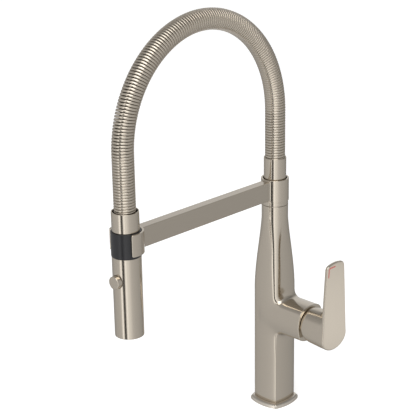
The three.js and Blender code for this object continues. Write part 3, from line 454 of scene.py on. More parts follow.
# %% [markdown]
# ## Joined forms
# The column and its side boss are one casting: the boss grows out of the column with a small rounded
# valley. Cutting and joining two meshes would leave a hard line there, and a bevel on such a line often
# breaks. Instead each form is written as a distance: negative inside, zero on the surface. The smaller of
# two distances joins two forms, and a softened smaller one fills the valley between them. Points that are
# roughly in place then slide down the slope of that distance until they lie on the joined surface.

# %% Distances, soft joins and settling
def soft_max(first, second, width):
    """The larger of two distances, rounded where they differ by less than width."""
    overlap = np.clip(1 - np.abs(first - second) / width, 0, 1)
    return np.maximum(first, second) + overlap**2 * width / 4


def slopes(distance, points):
    """How fast a distance grows along X, Y and Z."""
    step = 0.01
    ways = step * np.eye(3)
    return np.stack([(distance(points + way) - distance(points - way)) / (2 * step) for way in ways], -1)


def unit(vectors):
    return vectors / np.linalg.norm(vectors, axis=-1, keepdims=True)


def joined(first, second, width):
    """Two forms as one. width(a, b) is the valley's size for their two surface directions."""
    def distance(points):
        across = width(unit(slopes(first, points)), unit(slopes(second, points)))
        return -soft_max(-first(points), -second(points), across)
    return distance


def settle(points, distance, rounds=6):
    """Slides points onto the surface where the distance is zero."""
    for _ in range(rounds):
        slope = slopes(distance, points)
        points = points - (distance(points) / (slope**2).sum(-1))[..., None] * slope
    return points


def ease(share):
    """Goes from 0 to 1 with a soft start and a soft end."""
    return share**2 * (3 - 2 * share)


def crowd(count, power=1.8):
    """Values from -1 to 1 that crowd together at both ends."""
    value = np.linspace(-1, 1, count + 1)
    return np.sign(value) * (1 - (1 - np.abs(value)) ** power)


# %% [markdown]
# The column's section is a square whose sides bow outwards, and so are the boss's and the flange's. Each
# side is an arc, so the section is where four large discs overlap, and a soft maximum rounds the four
# ridges between them. The bow is half the angle that one side's arc turns through. Rounding takes a little
# off a ridge, so the outline is drawn that much larger, and the ridge ends up where it should.

# %% Bowed squares
def bowed_sizes(corner, bow):
    """Radius of a side's arc, and how far its centre lies on the other side of the middle."""
    half = corner / math.sqrt(2)
    radius = half / math.sin(bow)
    return radius, radius * math.cos(bow) - half


def bowed_square(u, v, corner, softness, bow):
    """Distance to a bowed square with its sides across u and v and its rounded ridges at corner."""
    radius, back = bowed_sizes(corner + softness / 4, bow)
    u, v = np.abs(u), np.abs(v)
    return soft_max(np.hypot(u + back, v), np.hypot(u, v + back), softness) - radius


def bowed_radius(angle, corner, bow):
    """Distance from the middle to the sharp outline, for angles from the middle of a side."""
    radius, back = bowed_sizes(corner, bow)
    quarter = np.pi / 2
    turn = angle - quarter * np.round(angle / quarter)
    return np.sqrt(radius**2 - (back * np.sin(turn)) ** 2) - back * np.cos(turn)


def ridged_angles(per_side=24):
    """Angles once round a bowed square from one ridge, closest together at the ridges."""
    return np.concatenate([np.pi / 4 * (2 * side + crowd(per_side)[:-1]) for side in range(4)])


# %% [markdown]
# ## The column with its boss
# From the foot to just above the boss the column keeps its bowed square section. Then it draws in to the
# round neck under the swivel: the ridges come in first, and higher up the sides fill out to a circle, so
# that the ridges run on nearly to the neck. They are narrow at the foot and broader and softer above the
# boss. The foot's edge over the flange is slightly rounded.

# %% Sizes of the column and boss
column_foot = cad("base_flange")[1][2] + 0.05
column_top = 263.3
column_corner = 24.8
column_bow = math.radians(18)
neck_radius = 16.1
taper = (158, 247)
rounding = (202, 252)
ridge_heights, ridge_softness = (70, 110, 190), (0.15, 2.0, 5.5)
column_bore = 14.8
neck_bore = 11.6
neck_floor = 235
boss_end = 58.0
boss_bow = math.radians(28)
boss_corner = 22.1 / bowed_radius(0, 1, boss_bow)
boss_ridge = 2.4
boss_bore, boss_floor = 18.0, 15
valley = 10.0
print(f"column {column_top - column_foot:.1f} mm high, boss {boss_end:.0f} mm long from its axis")


# %% Column and boss as distances
def drawn_in(height):
    """How far the ridges have come in from the foot's width, 0, to the neck's, 1."""
    share = np.clip((height - taper[0]) / (taper[1] - taper[0]), 0, 1) ** 1.2
    straight = 0.55  # the rest is eased
    return straight * share + (1 - straight) * ease(share)


def made_round(height):
    """How far the bowed square has turned into a circle."""
    return ease(np.clip((height - rounding[0]) / (rounding[1] - rounding[0]), 0, 1))


def column_distance(points):
    x, y, z = np.moveaxis(points, -1, 0)
    corner = column_corner + (neck_radius - column_corner) * drawn_in(z)
    ridge = np.interp(z, ridge_heights, ridge_softness)
    change = made_round(z)
    return bowed_square(x, y, corner, ridge, column_bow) * (1 - change) + (np.hypot(x, y) - corner) * change


def boss_distance(points):
    x, y, z = np.moveaxis(points, -1, 0)
    inward = np.clip(6 - x, 0, None)
    fade = 0.02 * inward**2 + 0.0001 * inward**4  # the boss ends inside the column
    return bowed_square(y, z - boss_height, boss_corner, boss_ridge, boss_bow) + fade


def cast_valley(first, second):
    return valley * np.sqrt(np.clip(1 - (first * second).sum(-1), 1e-4, None))


casting = joined(column_distance, boss_distance, cast_valley)

# %% [markdown]
# The mesh has two parts. Rings round the column leave a window on the lever's side. A patch fills it: its
# lines start at the window's edge, run over the column to the valley, turn, and follow the boss to its end.
# The four ridges of the boss start at the window's edge above and below the column's own ridges, so that
# the ridge lines run through both parts without a twist.

# %% A branch that grows out of a window in the rings
def window_loop(rings, first, last):
    """The edge of the window between two columns of points, once round from the first one's top."""
    columns = [i % rings.shape[1] for i in range(first, last + 1)]
    band = rings[:, columns]
    return np.concatenate([band[-1], band[-2:0:-1, -1], band[0][::-1], band[1:-1, 0]])


def branch(loop, root, tip, near=(0.04, 0.1, 0.18, 0.28, 0.4, 0.55, 0.75, 1)):
    """Rows from a window's edge over the trunk to the root of the branch, and along it to its tip."""
    over = [0, 0.25, 0.45, 0.6, 0.72, 0.82, 0.9, 0.96, 1]
    rows = [loop + (root - loop) * share for share in over]
    rows += [root + (tip - root) * share for share in near]
    return np.array(rows)


def boss_point(angle, x, radius):
    """A point of the boss at an angle from straight up, turning to +Y."""
    return np.stack([x + 0 * angle, radius * np.sin(angle), boss_height + radius * np.cos(angle)], -1)


def boss_row(angle, x):
    """The boss's outline at an X."""
    return boss_point(angle, x, bowed_radius(angle, boss_corner, boss_bow))


def column_face(points):
    """X where the column's outline passes through the points' Y."""
    radius, back = bowed_sizes(column_corner, column_bow)
    y = np.abs(points[:, 1])
    facing = np.sqrt(radius**2 - y**2) - back
    beside = np.sqrt(np.clip(radius**2 - (y + back) ** 2, 0, None))
    return np.where(y < column_corner / math.sqrt(2), facing, beside)


def rim_rows(row_at, distance, steps):
    """Rows of a rounded rim: each step is the place along the piece and how far the row lies inside."""
    return np.array([settle(row_at(place), lambda points, inset=inset: distance(points) + inset)
                     for place, inset in steps])


# %% [markdown]
# The window reaches round two of the column's ridges, because the boss is about as wide as the column and
# the two surfaces nearly touch there. The valley has to fade out where they do, which is why its width
# depends on the angle between the two surfaces.

# %% Rings of the column
angles = ridged_angles()
window_edges = boss_height - 36, boss_height + 36
window_sides = -14, 38  # columns of points, counted from the first ridge
foot_edge, top_edge = 0.45, 0.4


def column_ring(height):
    corner = column_corner + (neck_radius - column_corner) * drawn_in(height)
    change = made_round(height)
    radius = bowed_radius(angles, corner, column_bow) * (1 - change) + corner * change
    return round_z(radius, angles, height)


def column_rings(low, high, count):
    return settle(np.array([column_ring(z) for z in np.linspace(low, high, count)]), casting)


def column_sheets():
    """The column without its window, and the side of the window's band that faces away from the boss."""
    low, high = window_edges
    first, last = window_sides
    window = column_rings(low, high, 31)
    foot = rim_rows(column_ring, column_distance,
                    [(column_foot, 0.4), (column_foot + 0.15, 0.15), (column_foot + foot_edge, 0)])
    below = column_rings(column_foot + foot_edge, low, 12)[1:]
    above = column_rings(high, column_top - top_edge, 60)
    top = rim_rows(column_ring, column_distance, [(column_top - 0.15, 0.1), (column_top, 0.35)])
    steps = [(neck_bore, column_top), (neck_bore, neck_floor), (column_bore, neck_floor - 13),
             (column_bore, column_foot)]
    bore = [round_z(radius, angles, z) for radius, z in steps]
    outside = sheet(np.concatenate([above, top, bore, foot, below]))
    back = sheet(window[:, last:first + len(angles) + 1], around=False)
    return window, outside, back


# %% Build the column
def build_column():
    window, outside, back = column_sheets()
    loop = window_loop(window, *window_sides)
    sides = [crowd(count, power) for count, power in ((24, 1.8), (58, 1.5)) * 2]
    turns = np.concatenate([np.pi / 4 * (2 * side + values[:-1]) for side, values in enumerate(sides)])
    turns = np.roll(turns, -window_sides[0])  # the loop starts that many points before the boss's first ridge
    root, tip = boss_row(turns, 0), boss_row(turns, boss_end - 18)
    root[:, 0] = column_face(root)
    patch = settle(branch(loop, root, tip), casting)

    edge = 0.8
    arc = [(boss_end - edge * (1 - math.sin(a)), edge * (1 - math.cos(a)))
           for a in np.linspace(0, np.pi / 2, 6)]
    steps = [(boss_end - 6, 0), (boss_end - 2.5, 0), *arc]
    rim = rim_rows(lambda x: boss_row(turns, x), boss_distance, steps)
    inner = [boss_point(turns, x, boss_bore) for x in (boss_end, boss_floor)]
    boss = sheet(np.concatenate([patch, rim, inner]))
    add_piece("column_and_boss", [outside, back, boss], nickel, "body", ["body_shell"])


build_column()

# %% [markdown]
# ## Turned pieces
# The flange is a bowed square too, but the sleeve, the rings, the ferrule, the collar and the spray head
# are turned on a lathe: a profile spun round an axis. No machined edge is truly sharp, and the thin bright
# line where an edge catches the light is what makes metal look solid. So every corner of a profile has its
# own small radius.

# %% Profiles and turned pieces
def profile(*corners, steps=4):
    """A closed outline. Each corner is its radius from the axis, its height and how round it is."""
    places = [np.array(corner[:2], float) for corner in corners]
    outline = []
    for i, (here, corner) in enumerate(zip(places, corners)):
        roundness = corner[2] if len(corner) > 2 else 0
        if not roundness:
            outline.append(here)
            continue
        before = places[i - 1] - here
        after = places[(i + 1) % len(places)] - here
        lengths = np.linalg.norm(before), np.linalg.norm(after)
        opening = math.acos(np.clip(before @ after / (lengths[0] * lengths[1]), -1, 1))
        reach_in = min(roundness / math.tan(opening / 2), 0.45 * min(lengths))
        start = here + before / lengths[0] * reach_in
        end = here + after / lengths[1] * reach_in
        for t in np.linspace(0, 1, steps + 1):
            outline.append((1 - t) ** 2 * start + 2 * t * (1 - t) * here + t**2 * end)
    return np.array(outline)


def turned(outline, segments=96):
    """Rows of an outline spun round Z."""
    around = np.linspace(0, 2 * np.pi, segments, endpoint=False)
    return round_z(outline[:, :1], around, outline[:, 1:])


def even_shading(piece):
    """Keeps flat and straight stretches even right up to their rounded edges."""
    piece.modifiers.new("even_shading", "WEIGHTED_NORMAL").keep_sharp = True
    return piece


def add_turned(name, outline, look, body, stands_for=(), place=lambda rows: rows, segments=96):
    rows = place(turned(outline, segments))
    return even_shading(add_piece(name, [sheet(rows, along=True)], look, body, stands_for))


# %% [markdown]
# The deck flange spreads the load of the faucet and covers the hole in the work top. It repeats the
# column's bowed square, a little larger and fuller. Its top edge is rounded broad and low, so that it
# catches light from the side instead of mirroring the column's foot. Its tint is painted lighter than the
# other nickel, a painted highlight that keeps the flange from looking dark.

# %% Deck flange
flange_bow, flange_ridge = math.radians(24), 0.5
flange_drop, flange_ledge = 2.4, 4.6
flange_mouth, hose_bore, seal_bore, seal_height = 20, 15.5, 22, 1.9


def build_flange():
    half, height = cad("base_flange")[1][[0, 2]]
    corner = half / bowed_radius(0, 1, flange_bow)

    def outline(points):
        return bowed_square(points[..., 0], points[..., 1], corner, flange_ridge, flange_bow)

    def ring(z):
        return round_z(bowed_radius(angles, corner, flange_bow), angles, z)

    top = [(height - flange_drop * (1 - math.sin(a)), flange_ledge * (1 - math.cos(a)))
           for a in np.linspace(0, np.pi / 2, 10)]
    rows = rim_rows(ring, outline, [(0, 0.3), (0.3, 0), (1.5, 0), *top])
    steps = [(flange_mouth, height), (hose_bore, height), (hose_bore, seal_height), (seal_bore, seal_height),
             (seal_bore, 0)]
    bore = [round_z(radius, angles, z) for radius, z in steps]
    sheets = [sheet(np.concatenate([rows, bore]), along=True)]
    even_shading(add_piece("deck_flange", sheets, nickel_foot_painted_light, "body", ["base_flange"]))


build_flange()

# %% [markdown]
# Between the boss and the lever sits a dome, part of a ball whose centre is the lever's pivot. The lever's
# hollow hub slides over it as the lever tilts, so no gap opens. It is turned about the boss's axis.

# %% Dome under the lever
pivot = np.array((boss_end - 9.5, 0, boss_height))
dome_radius = 19.13


def along_boss(rows):
    """Turns rows made about Z so that their axis lies along the boss."""
    return np.stack([rows[..., 2], rows[..., 1], boss_height - rows[..., 0]], -1)


def build_dome():
    wide, narrow = 16.6, 11.0
    arc = np.linspace(math.asin(wide / dome_radius), math.asin(narrow / dome_radius), 12)
    cap = [(dome_radius * math.sin(a), pivot[0] + dome_radius * math.cos(a)) for a in arc]
    inner_end, outer_end, rim = boss_end - 1.2, boss_end - 0.3, boss_bore - 0.3
    foot = [(narrow, inner_end), (rim, inner_end), (rim, outer_end), (wide + 0.4, outer_end)]
    add_turned("valve_dome", np.array(foot + cap), nickel, "body", ["dome_ring"], along_boss)


build_dome()

# %% [markdown]
# ## The lever
# The lever is one casting. Its hub starts as a plain round, swells within a few millimetres and ends in the
# round foot of the blade. The blade stands upright, narrower at the top, with a slightly crowned top edge
# and a thin web behind its middle. Rows of points run round the boss's axis from the hub's start to the
# outer face. Each row uses the same directions, chosen along the blade's outline, so that its long straight
# edges and small round corners are both well covered.

# %% Blade outline
blade_face, blade_back = 95.5, 92.1
blade_half_foot, foot_sink, foot_drop = 22.2, 7.2, 16.2
blade_half_top, blade_rise, blade_crown, blade_corner = 15.8, 89.0, 1.2, 6.2
blade_shoulder = blade_rise - blade_crown - blade_corner
blade_slant = (blade_half_foot - blade_half_top) / (blade_shoulder + foot_sink)


def blade_outline():
    """Points round the blade, sideways and up from the boss's axis, from the middle of its top edge."""
    inset = blade_half_top - blade_corner
    top = [(x, blade_rise - blade_crown * (x / inset) ** 2)
           for x in np.linspace(0, inset, 10, endpoint=False)]
    corner = [(inset + blade_corner * math.cos(a), blade_shoulder + blade_corner * math.sin(a))
              for a in np.linspace(np.pi / 2, 0, 16)]
    edge = [(blade_half_top + blade_slant * (blade_shoulder - z), z)
            for z in np.linspace(blade_shoulder, -foot_sink, 72)[1:]]
    foot = [(blade_half_foot * math.cos(a), -foot_sink - foot_drop * math.sin(a))
            for a in np.linspace(0, np.pi / 2, 34)[1:]]
    half = np.array(top + corner + edge + foot)
    return np.concatenate([half, half[-2:0:-1] * (-1, 1)])


outline = blade_outline()
blade_radius = np.hypot(*outline.T)
lever_ways = outline / blade_radius[:, None]
print("blade outline:", len(outline), "points")

# %% [markdown]
# Below its axis the hub is cut back on a slant, so that it clears the boss when the lever is lifted. That
# is the dark wedge at the lower end of the seam. Inside, the hub is a hollow ball that clears the dome.

# %% Hub outline and its start
hub_start = boss_end + 0.6
hub_foot, hub_crown = 20.0, 21.8
lever_tilt = math.radians(20)


def foot_radius():
    """Distance from the boss's axis to the blade's round foot, and to a plain round above it."""
    sideways, down = lever_ways[:, 0], -lever_ways[:, 1]
    a = (sideways / blade_half_foot) ** 2 + (down / foot_drop) ** 2
    b = down * foot_sink / foot_drop**2
    c = (foot_sink / foot_drop) ** 2 - 1
    foot = (b + np.sqrt(b * b - a * c)) / a
    return np.minimum(soft_max(foot, hub_crown + 0 * foot, 2.0), blade_radius - 0.05)


def hub_radius_at(x):
    """Swells from the plain round to the blade's foot, mostly in the first millimetres."""
    share = np.clip((x - hub_start) / (blade_back + 1 - hub_start), 0, 1) ** 0.35
    return hub_foot * (1 - share) + foot_radius() * share


def lever_start(radius):
    """X where the hub begins: upright above, and on the slant below."""
    slanted = (hub_start - pivot[0] - radius * lever_ways[:, 1] * math.sin(lever_tilt)) / math.cos(lever_tilt)
    return np.maximum(hub_start, pivot[0] + slanted)


def lever_row(x, radius):
    return np.stack([x + 0 * radius, radius * lever_ways[:, 0], boss_height + radius * lever_ways[:, 1]], -1)


# %% [markdown]
# A thin web stiffens the blade from behind. It rises out of the hub in the last stretch before the blade,
# and only round the blade's middle.

# %% Web behind the blade
web_depth, web_share = 20, 0.65
web_middle, web_side = 6, 26  # degrees from straight up, at full height and at none


def web_radius_at(x):
    upright = np.degrees(np.arccos(np.clip(lever_ways[:, 1], -1, 1)))
    middle = ease(1 - np.clip((upright - web_middle) / (web_side - web_middle), 0, 1))
    height = foot_radius() + (web_share * blade_radius - foot_radius()) * middle
    nearness = np.clip((x - blade_back + web_depth) / web_depth, 0, 1) ** 4
    base = hub_radius_at(x)
    return base + np.clip(height - base, 0, None) * nearness


# %% [markdown]
# The casting is rounded where a hand touches it: generously along the blade's front edge, finely along its
# back edge and round the hub's start. A hollow fillet leads from the hub to the blade's back. Each rounding
# is a quarter of a circle, cut short where the hub already fills the blade's outline.

# %% Outside and inside of the lever
rim, fillet, back_edge, front_edge, crown = 0.9, 3.5, 0.5, 1.5, 0.25
quarter = [(math.sin(a), math.cos(a)) for a in np.linspace(0, np.pi / 2, 7)]


def lever_outside():
    start = hub_start + 0 * blade_radius
    for _ in range(20):  # until the start and the hub's width there agree
        start = lever_start(hub_radius_at(start))
    web = web_radius_at(blade_back + 0 * start)
    hollow = np.clip(blade_radius - back_edge - web, 0, fillet)
    flush = np.minimum(web, blade_radius)
    rows = [lever_row(start + rim * (1 - cos), hub_radius_at(start) - rim * (1 - sin))
            for sin, cos in quarter]
    for t in np.linspace(0, 1, 18)[1:]:
        x = start + rim + (blade_back - hollow - start - rim) * t
        rows.append(lever_row(x, web_radius_at(x)))
    rows += [lever_row(blade_back - hollow * (1 - sin), web + hollow * (1 - cos)) for sin, cos in quarter[1:]]
    rows += [lever_row(blade_back + back_edge * (1 - cos),
                       np.maximum(blade_radius - back_edge * (1 - sin), flush)) for sin, cos in quarter]
    rows += [lever_row(blade_face - front_edge * (1 - sin), blade_radius - front_edge * (1 - cos))
             for sin, cos in quarter]
    return rows + [lever_row(blade_face + crown * (1 - share**2), (blade_radius - front_edge) * share)
                   for share in (0.93, 0.8, 0.6, 0.4, 0.2, 0.0)]


def lever_inside():
    ball = dome_radius + 0.6
    inner = 15 + 0 * blade_radius
    for _ in range(40):  # until the ball's edge meets the hub's start
        inner = np.sqrt(np.clip(ball**2 - (lever_start(inner) - pivot[0]) ** 2, 1, None))
    rows = [lever_row(pivot[0] + np.sqrt(ball**2 - (inner * share) ** 2), inner * share)
            for share in (0.0, 0.3, 0.55, 0.8)]
    return rows + [lever_row(lever_start(inner), inner)]


# %% [markdown]
# The blade's broad face is brushed more coarsely than the rest of the casting, and its tint is painted
# lighter, a painted highlight that brightens the face, so its faces take a second material.

# %% Build the lever
def build_lever():
    rows = np.array(lever_inside() + lever_outside())
    lever = add_piece("lever_casting", [sheet(rows)], nickel_lever, "lever", ["lever"])
    # Faces on the blade's front take the lighter tint: a painted highlight.
    lever.data.materials.append(nickel_face_painted_light)
    for polygon in lever.data.polygons:
        lowest = min(lever.data.vertices[i].co.x for i in polygon.vertices)
        polygon.material_index = int(lowest > (blade_face - 0.5) * MM)
    blade_lamp.light_linking.receiver_collection.objects.link(lever)
    return even_shading(lever)


build_lever()

# %% [markdown]
# The hot mark is red enamel in a shallow groove along the blade's upper front corner. Its face stands a few
# hundredths of a millimetre proud, which gives it a small edge of its own.

# %% Hot mark
def band(path, width):
    """The two edges of a band of constant width along a flat path."""
    path = np.array(path, float)
    ahead = unit(np.gradient(path, axis=0))
    side = np.stack([-ahead[:, 1], ahead[:, 0]], -1)
    return path + side * width / 2, path - side * width / 2


def build_hot_mark():
    low, high = cad("hot_mark")
    width, bend, squeezed, margin = 1.8, 2.6, 0.12, 0.3
    left, top = low[1] + (high[2] - low[2]) * blade_slant + width / 2, high[2] - width / 2
    down = [(left - blade_slant * (top - bend - z), z) for z in np.linspace(low[2] + margin, top - bend, 8)]
    turn = [(left + bend - bend * math.cos(a), top - bend + bend * math.sin(a))
            for a in np.linspace(0, np.pi / 2, 9)]
    across = [(y, top) for y in np.linspace(left + bend, high[1] - margin, 8)]
    outer, inner = band(down + turn[1:-1] + across, width)
    face = blade_face + 0.1
    rows = []
    for x, squeeze in ((face - 0.5, 0), (face - 0.05, 0), (face + 0.02, squeezed)):
        loop = np.concatenate([outer + (inner - outer) * squeeze, (inner + (outer - inner) * squeeze)[::-1]])
        rows.append(np.column_stack([np.full(len(loop), x), loop]))
    points, faces = sheet(rows)
    count = len(outer)
    near, far = 2 * len(rows[0]), 3 * len(rows[0]) - 1
    lid = [(near + i, near + i + 1, far - i - 1, far - i) for i in range(count - 1)]
    add_piece("hot_enamel", [(points, faces + lid)], enamel, "lever", ["hot_mark"])


build_hot_mark()

# %% [markdown]
# ## Swivel, arm and sleeve
# The arm swings on the column, so there is a thin dark washer and a plain ring between the two. They fill
# the height between column and hub, and the joint shows as two fine lines, the lower one dark. Both are
# simple turned rings with slightly eased edges.

# %% Swivel ring and washer
stem_bore = 12.5  # for the stem that the arm turns on
washer_top = column_top + 0.5


def add_ring(name, cad_name, low, high, look, body):
    outer, ease_edge = cad(cad_name)[1][0], 0.1
    shape = profile((stem_bore, low), (outer, low, ease_edge), (outer, high, ease_edge), (stem_bore, high))
    return add_turned(name, shape, look, body, [cad_name])


add_ring("joint_washer", "swivel_washer", column_top + 0.05, washer_top, black_plastic, "body")
add_ring("joint_ring", "swivel_ring", washer_top + 0.02, hub_low[2] - 0.1, nickel, "spout")

# %% [markdown]
# The hub and the arm are one casting again, so the helper that grew the boss out of the column grows the
# bar out of the hub. The bar is modelled pointing to +X and turned to the front afterwards. Its distance is
# that of a box with rounded edges. The valley is wide on the bar's two sides, where the real casting flows
# into the hub, and narrow above and below, where there are only two millimetres of hub left.

# %% Hub and bar as distances
bar_half_width = 6.0
bar_low, bar_high = hub_high[2] - 24.9, hub_high[2] - 1.7
bar_middle, bar_half_height = (bar_low + bar_high) / 2, (bar_high - bar_low) / 2
hub_bore = hub_radius - 2.2
bar_edge = 0.7
arm_gap = (dock_high[0] - dock_low[0]) / 2 + 0.3  # the bar ends this far from the dock's axis


def hub_distance(points):
    return np.hypot(points[..., 0], points[..., 1]) - hub_radius


def bar_distance(points):
    wide = np.abs(points[..., 1]) - bar_half_width + bar_edge
    tall = np.abs(points[..., 2] - bar_middle) - bar_half_height + bar_edge
    outside = np.hypot(np.clip(wide, 0, None), np.clip(tall, 0, None))
    fade = 0.1 * np.clip(8 - points[..., 0], 0, None) ** 2  # the bar ends inside the hub
    return outside + np.minimum(np.maximum(wide, tall), 0) - bar_edge + fade


def arm_valley(first, second):
    return 0.5 + 0.8 * second[..., 1] ** 2


arm_casting = joined(hub_distance, bar_distance, arm_valley)

# %% [markdown]
# At the back of the hub two small holes lead to the set screws that hold the sleeve and limit the swivel.
# A solid cutter is the simplest way to make them, and later the button's hole in the spray head, because
# the holes are plain and their rims are meant to be sharp.

# %% A drill
def drill(piece, start, way, radius, depth):
    """Cuts a round blind hole from a point along a direction."""
    way = Vector(way).normalized()
    size = {"radius1": radius * MM, "radius2": radius * MM, "depth": depth * MM}
    rod = bmesh.new()
    bmesh.ops.create_cone(rod, cap_ends=True, segments=32, **size)
    turn = way.to_track_quat("Z", "Y").to_matrix().to_4x4()
    middle = Vector(start) * MM + way * depth * MM / 2
    rod.transform(Matrix.Translation(middle) @ turn)
    mesh = bpy.data.meshes.new("cutter")
    rod.to_mesh(mesh)
    rod.free()
    cutter = bpy.data.objects.new("cutter", mesh)
    bpy.context.scene.collection.objects.link(cutter)
    cut = piece.modifiers.new("hole", "BOOLEAN")
    cut.operation = "DIFFERENCE"
    cut.solver = "EXACT"
    cut.object = cutter
    bpy.context.view_layer.update()
    whole = bpy.data.meshes.new_from_object(piece.evaluated_get(bpy.context.evaluated_depsgraph_get()))
    piece.modifiers.clear()
    piece.data = whole
    whole.set_sharp_from_angle(angle=math.radians(40))
    bpy.data.objects.remove(cutter)


# %% [markdown]
# The hub is rings with a window at the front, between 45 degrees on either side. The bar starts as a patch
# from the window's edge over the valley. Its far end is hollowed to the dock ring's curve.

# %% Hub of the arm
hub_angles = np.linspace(0, 2 * np.pi, 128, endpoint=False) - np.pi / 4
hub_window = 0, 32  # columns of points


def hub_sheets():
    def ring(height, radius=hub_radius):
        return round_z(radius, hub_angles, height)

    margin = 1.1
    low, high = bar_low - margin, bar_high + margin
    window = settle(np.array([ring(z) for z in np.linspace(low, high, 25)]), arm_casting)
    bottom, top = hub_low[2], hub_high[2]
    floor = bottom + 4.4
    shape = profile((stem_bore, bottom), (hub_radius, bottom, 0.35), (hub_radius, top, 0.45),
                    (hub_bore, top, 0.3), (hub_bore, floor), (stem_bore, floor), steps=5)
    shape = np.concatenate([shape[7:], shape[:7]])  # starts above the window and ends below it
    around = np.array([ring(height, radius) for radius, height in shape])
    outside = sheet(np.concatenate([window[-1:], around, window[:1]]))
    far_side = [*range(hub_window[1], len(hub_angles)), hub_window[0]]
    return window, outside, sheet(window[:, far_side], around=False)


# %% Bar of the arm
def bar_section():
    """The bar's outline, sideways and up from its middle, from one upper edge once round."""
    inset = bar_edge * 0.3
    half_y, half_z = bar_half_width - inset, bar_half_height - inset
    side, tall = crowd(32, 1.6)[:-1], crowd(24, 1.6)[:-1]
    upper = np.stack([side * half_y, 0 * side + half_z], -1)
    right = np.stack([0 * tall + half_y, -tall * half_z], -1)
    return np.concatenate([upper, right, -upper, -right])


def bar_end(sideways):
    """How far the bar reaches, hollowed to the dock ring's curve."""
    return reach - np.sqrt(arm_gap**2 - sideways**2)


def bar_surface(points):
    flat = points.copy()
    flat[..., 0] = reach
    return bar_distance(flat)


def bar_sheet(window):
    sideways, upward = bar_section().T
    upward = bar_middle + upward

    def cut_at(back_off):
        return np.column_stack([bar_end(sideways) - back_off, sideways, upward])

    root = np.column_stack([np.sqrt(hub_radius**2 - sideways**2), sideways, upward])
    tip = root.copy()
    tip[:, 0] = 60
    patch = settle(branch(window_loop(window, *hub_window), root, tip), arm_casting)
    middle = settle(np.array([cut_at(0) * (1 - t) + patch[-1] * t for t in (0.75, 0.5, 0.25)]), bar_surface)
    rim = rim_rows(cut_at, bar_surface, [(1.2, 0), (0.4, 0), (0.12, 0.12), (0, 0.4)])
    cap = []
    for share in (0.8, 0.4, 0.0):
        across, rise = rim[-1][:, 1] * share, (rim[-1][:, 2] - bar_middle) * share
        cap.append(np.column_stack([bar_end(across), across, bar_middle + rise]))
    return sheet(np.concatenate([patch, middle, rim, np.array(cap)]))


# %% Build the arm
def to_front(rows):
    """Turns rows that point to +X so that they point to the front, -Y."""
    return np.stack([rows[..., 1], -rows[..., 0], rows[..., 2]], -1)


def build_arm():
    window, outside, back = hub_sheets()
    sheets = [(to_front(points), faces) for points, faces in (outside, back, bar_sheet(window))]
    arm = add_piece("arm_casting", sheets, nickel_bar_painted_shade, "spout", ["support_arm"])
    for screw, radius in (("sleeve_set_screw", 2.3), ("swivel_stop_screw", 1.8)):
        low, high = cad(screw)
        drill(arm, (0, high[1] + 2, (low[2] + high[2]) / 2), (0, -1, 0), radius, depth=5)
    # The bar keeps the darker tint, which is painted shade; the hub takes the plain nickel.
    arm.data.materials.append(nickel)  # the hub is brushed round, the bar along
    for polygon in arm.data.polygons:
        middle = polygon.center
        on_hub = middle.y > (0.5 - hub_radius) * MM or polygon.normal.y > 0.1
        polygon.material_index = int(on_hub or abs(middle.x) > bar_half_width * MM * 1.05)
    return arm


build_arm()

# %% [markdown]
# The sleeve is a thin tube that stands in the hub and holds the spring upright. Its rim is eased inside and
# out. The dock is a strip bent round the spray head, open at the front, with rounded ends.

# %% Sleeve and dock
def round_size(node):
    """Radius of a round node, and its lowest and highest Z."""
    low, high = cad(node)
    return (high[0] - low[0]) / 2, low[2], high[2]


def build_sleeve():
    low, high = cad("spring_sleeve")
    outer, inner = high[0], high[0] - 1.05
    shape = profile((inner, low[2]), (outer, low[2]), (outer, high[2], 0.4), (inner, high[2], 0.3))
    return add_turned("spring_tube", shape, nickel, "spout", ["spring_sleeve"])


def build_dock():
    outer, low, high = round_size("dock_ring")
    inner = outer - 2.6
    middle, half = (low + high) / 2, (high - low) / 2
    opening = math.radians(66.5)
    corner, edge = 2.0, 0.5  # seen from the front, and along the strip's edges
    stretch = corner / outer
    first, last = opening - np.pi / 2, 3 * np.pi / 2 - opening
    # How far along the rounded end, and how much thinner the strip is there.
    ends = [(0, 0.5), (0.04, 0.25), (0.12, 0.1), (0.25, 0.03), (0.4, 0), (0.6, 0), (0.8, 0), (1, 0)]
    stations = [(first + share * stretch, share, pinch) for share, pinch in ends]
    stations += [(angle, 1, 0) for angle in np.linspace(first + stretch, last - stretch, 60)[1:-1]]
    stations += [(last - share * stretch, share, pinch) for share, pinch in ends[::-1]]
    rows = []
    for angle, share, pinch in stations:
        tall = half - corner * (1 - math.sqrt(1 - (1 - share) ** 2))
        shape = profile((inner + pinch, middle - tall, edge), (outer - pinch, middle - tall, edge),
                        (outer - pinch, middle + tall, edge), (inner + pinch, middle + tall, edge))
        rows.append([(r * math.cos(angle), r * math.sin(angle) - reach, z) for r, z in shape])
    rows = np.array(rows)
    start, end = (np.tile(rows[i].mean(0), (1, rows.shape[1], 1)) for i in (0, -1))
    dock = add_piece("dock_clip", [sheet(np.concatenate([start, rows, end]))], nickel, "spout", ["dock_ring"])
    return even_shading(dock)


build_sleeve()
build_dock()

# %% [markdown]
# ## The spring and its hose
# One coil of wire runs from the hub over the arch to the ferrule on the spray head, with a hose inside. A
# plain ribbed tube would look right only from far away, so the wire is really wound. A helix is carried
# along the arch's centreline: at each step the wire's centre lies on a circle round that line, and its
# section lies in the plane of the circle's radius and the line's direction. Such springs are often ground
# on the outside, so the section has a nearly flat face with sloping shoulders, and together the turns shine
# like a grooved tube.
#
# When the head is pulled down, the coil must stretch between its two ends. Here it is taken off its body
# and stays where it is built.

# %% Centreline of the arch
springing = 379.4
arch_rise = 124.4
coil_radius = 12.15
wire = 2.7
coil_foot = cad("spring_arch")[0][2]
coil_end = cad("spring_drop")[0][2]


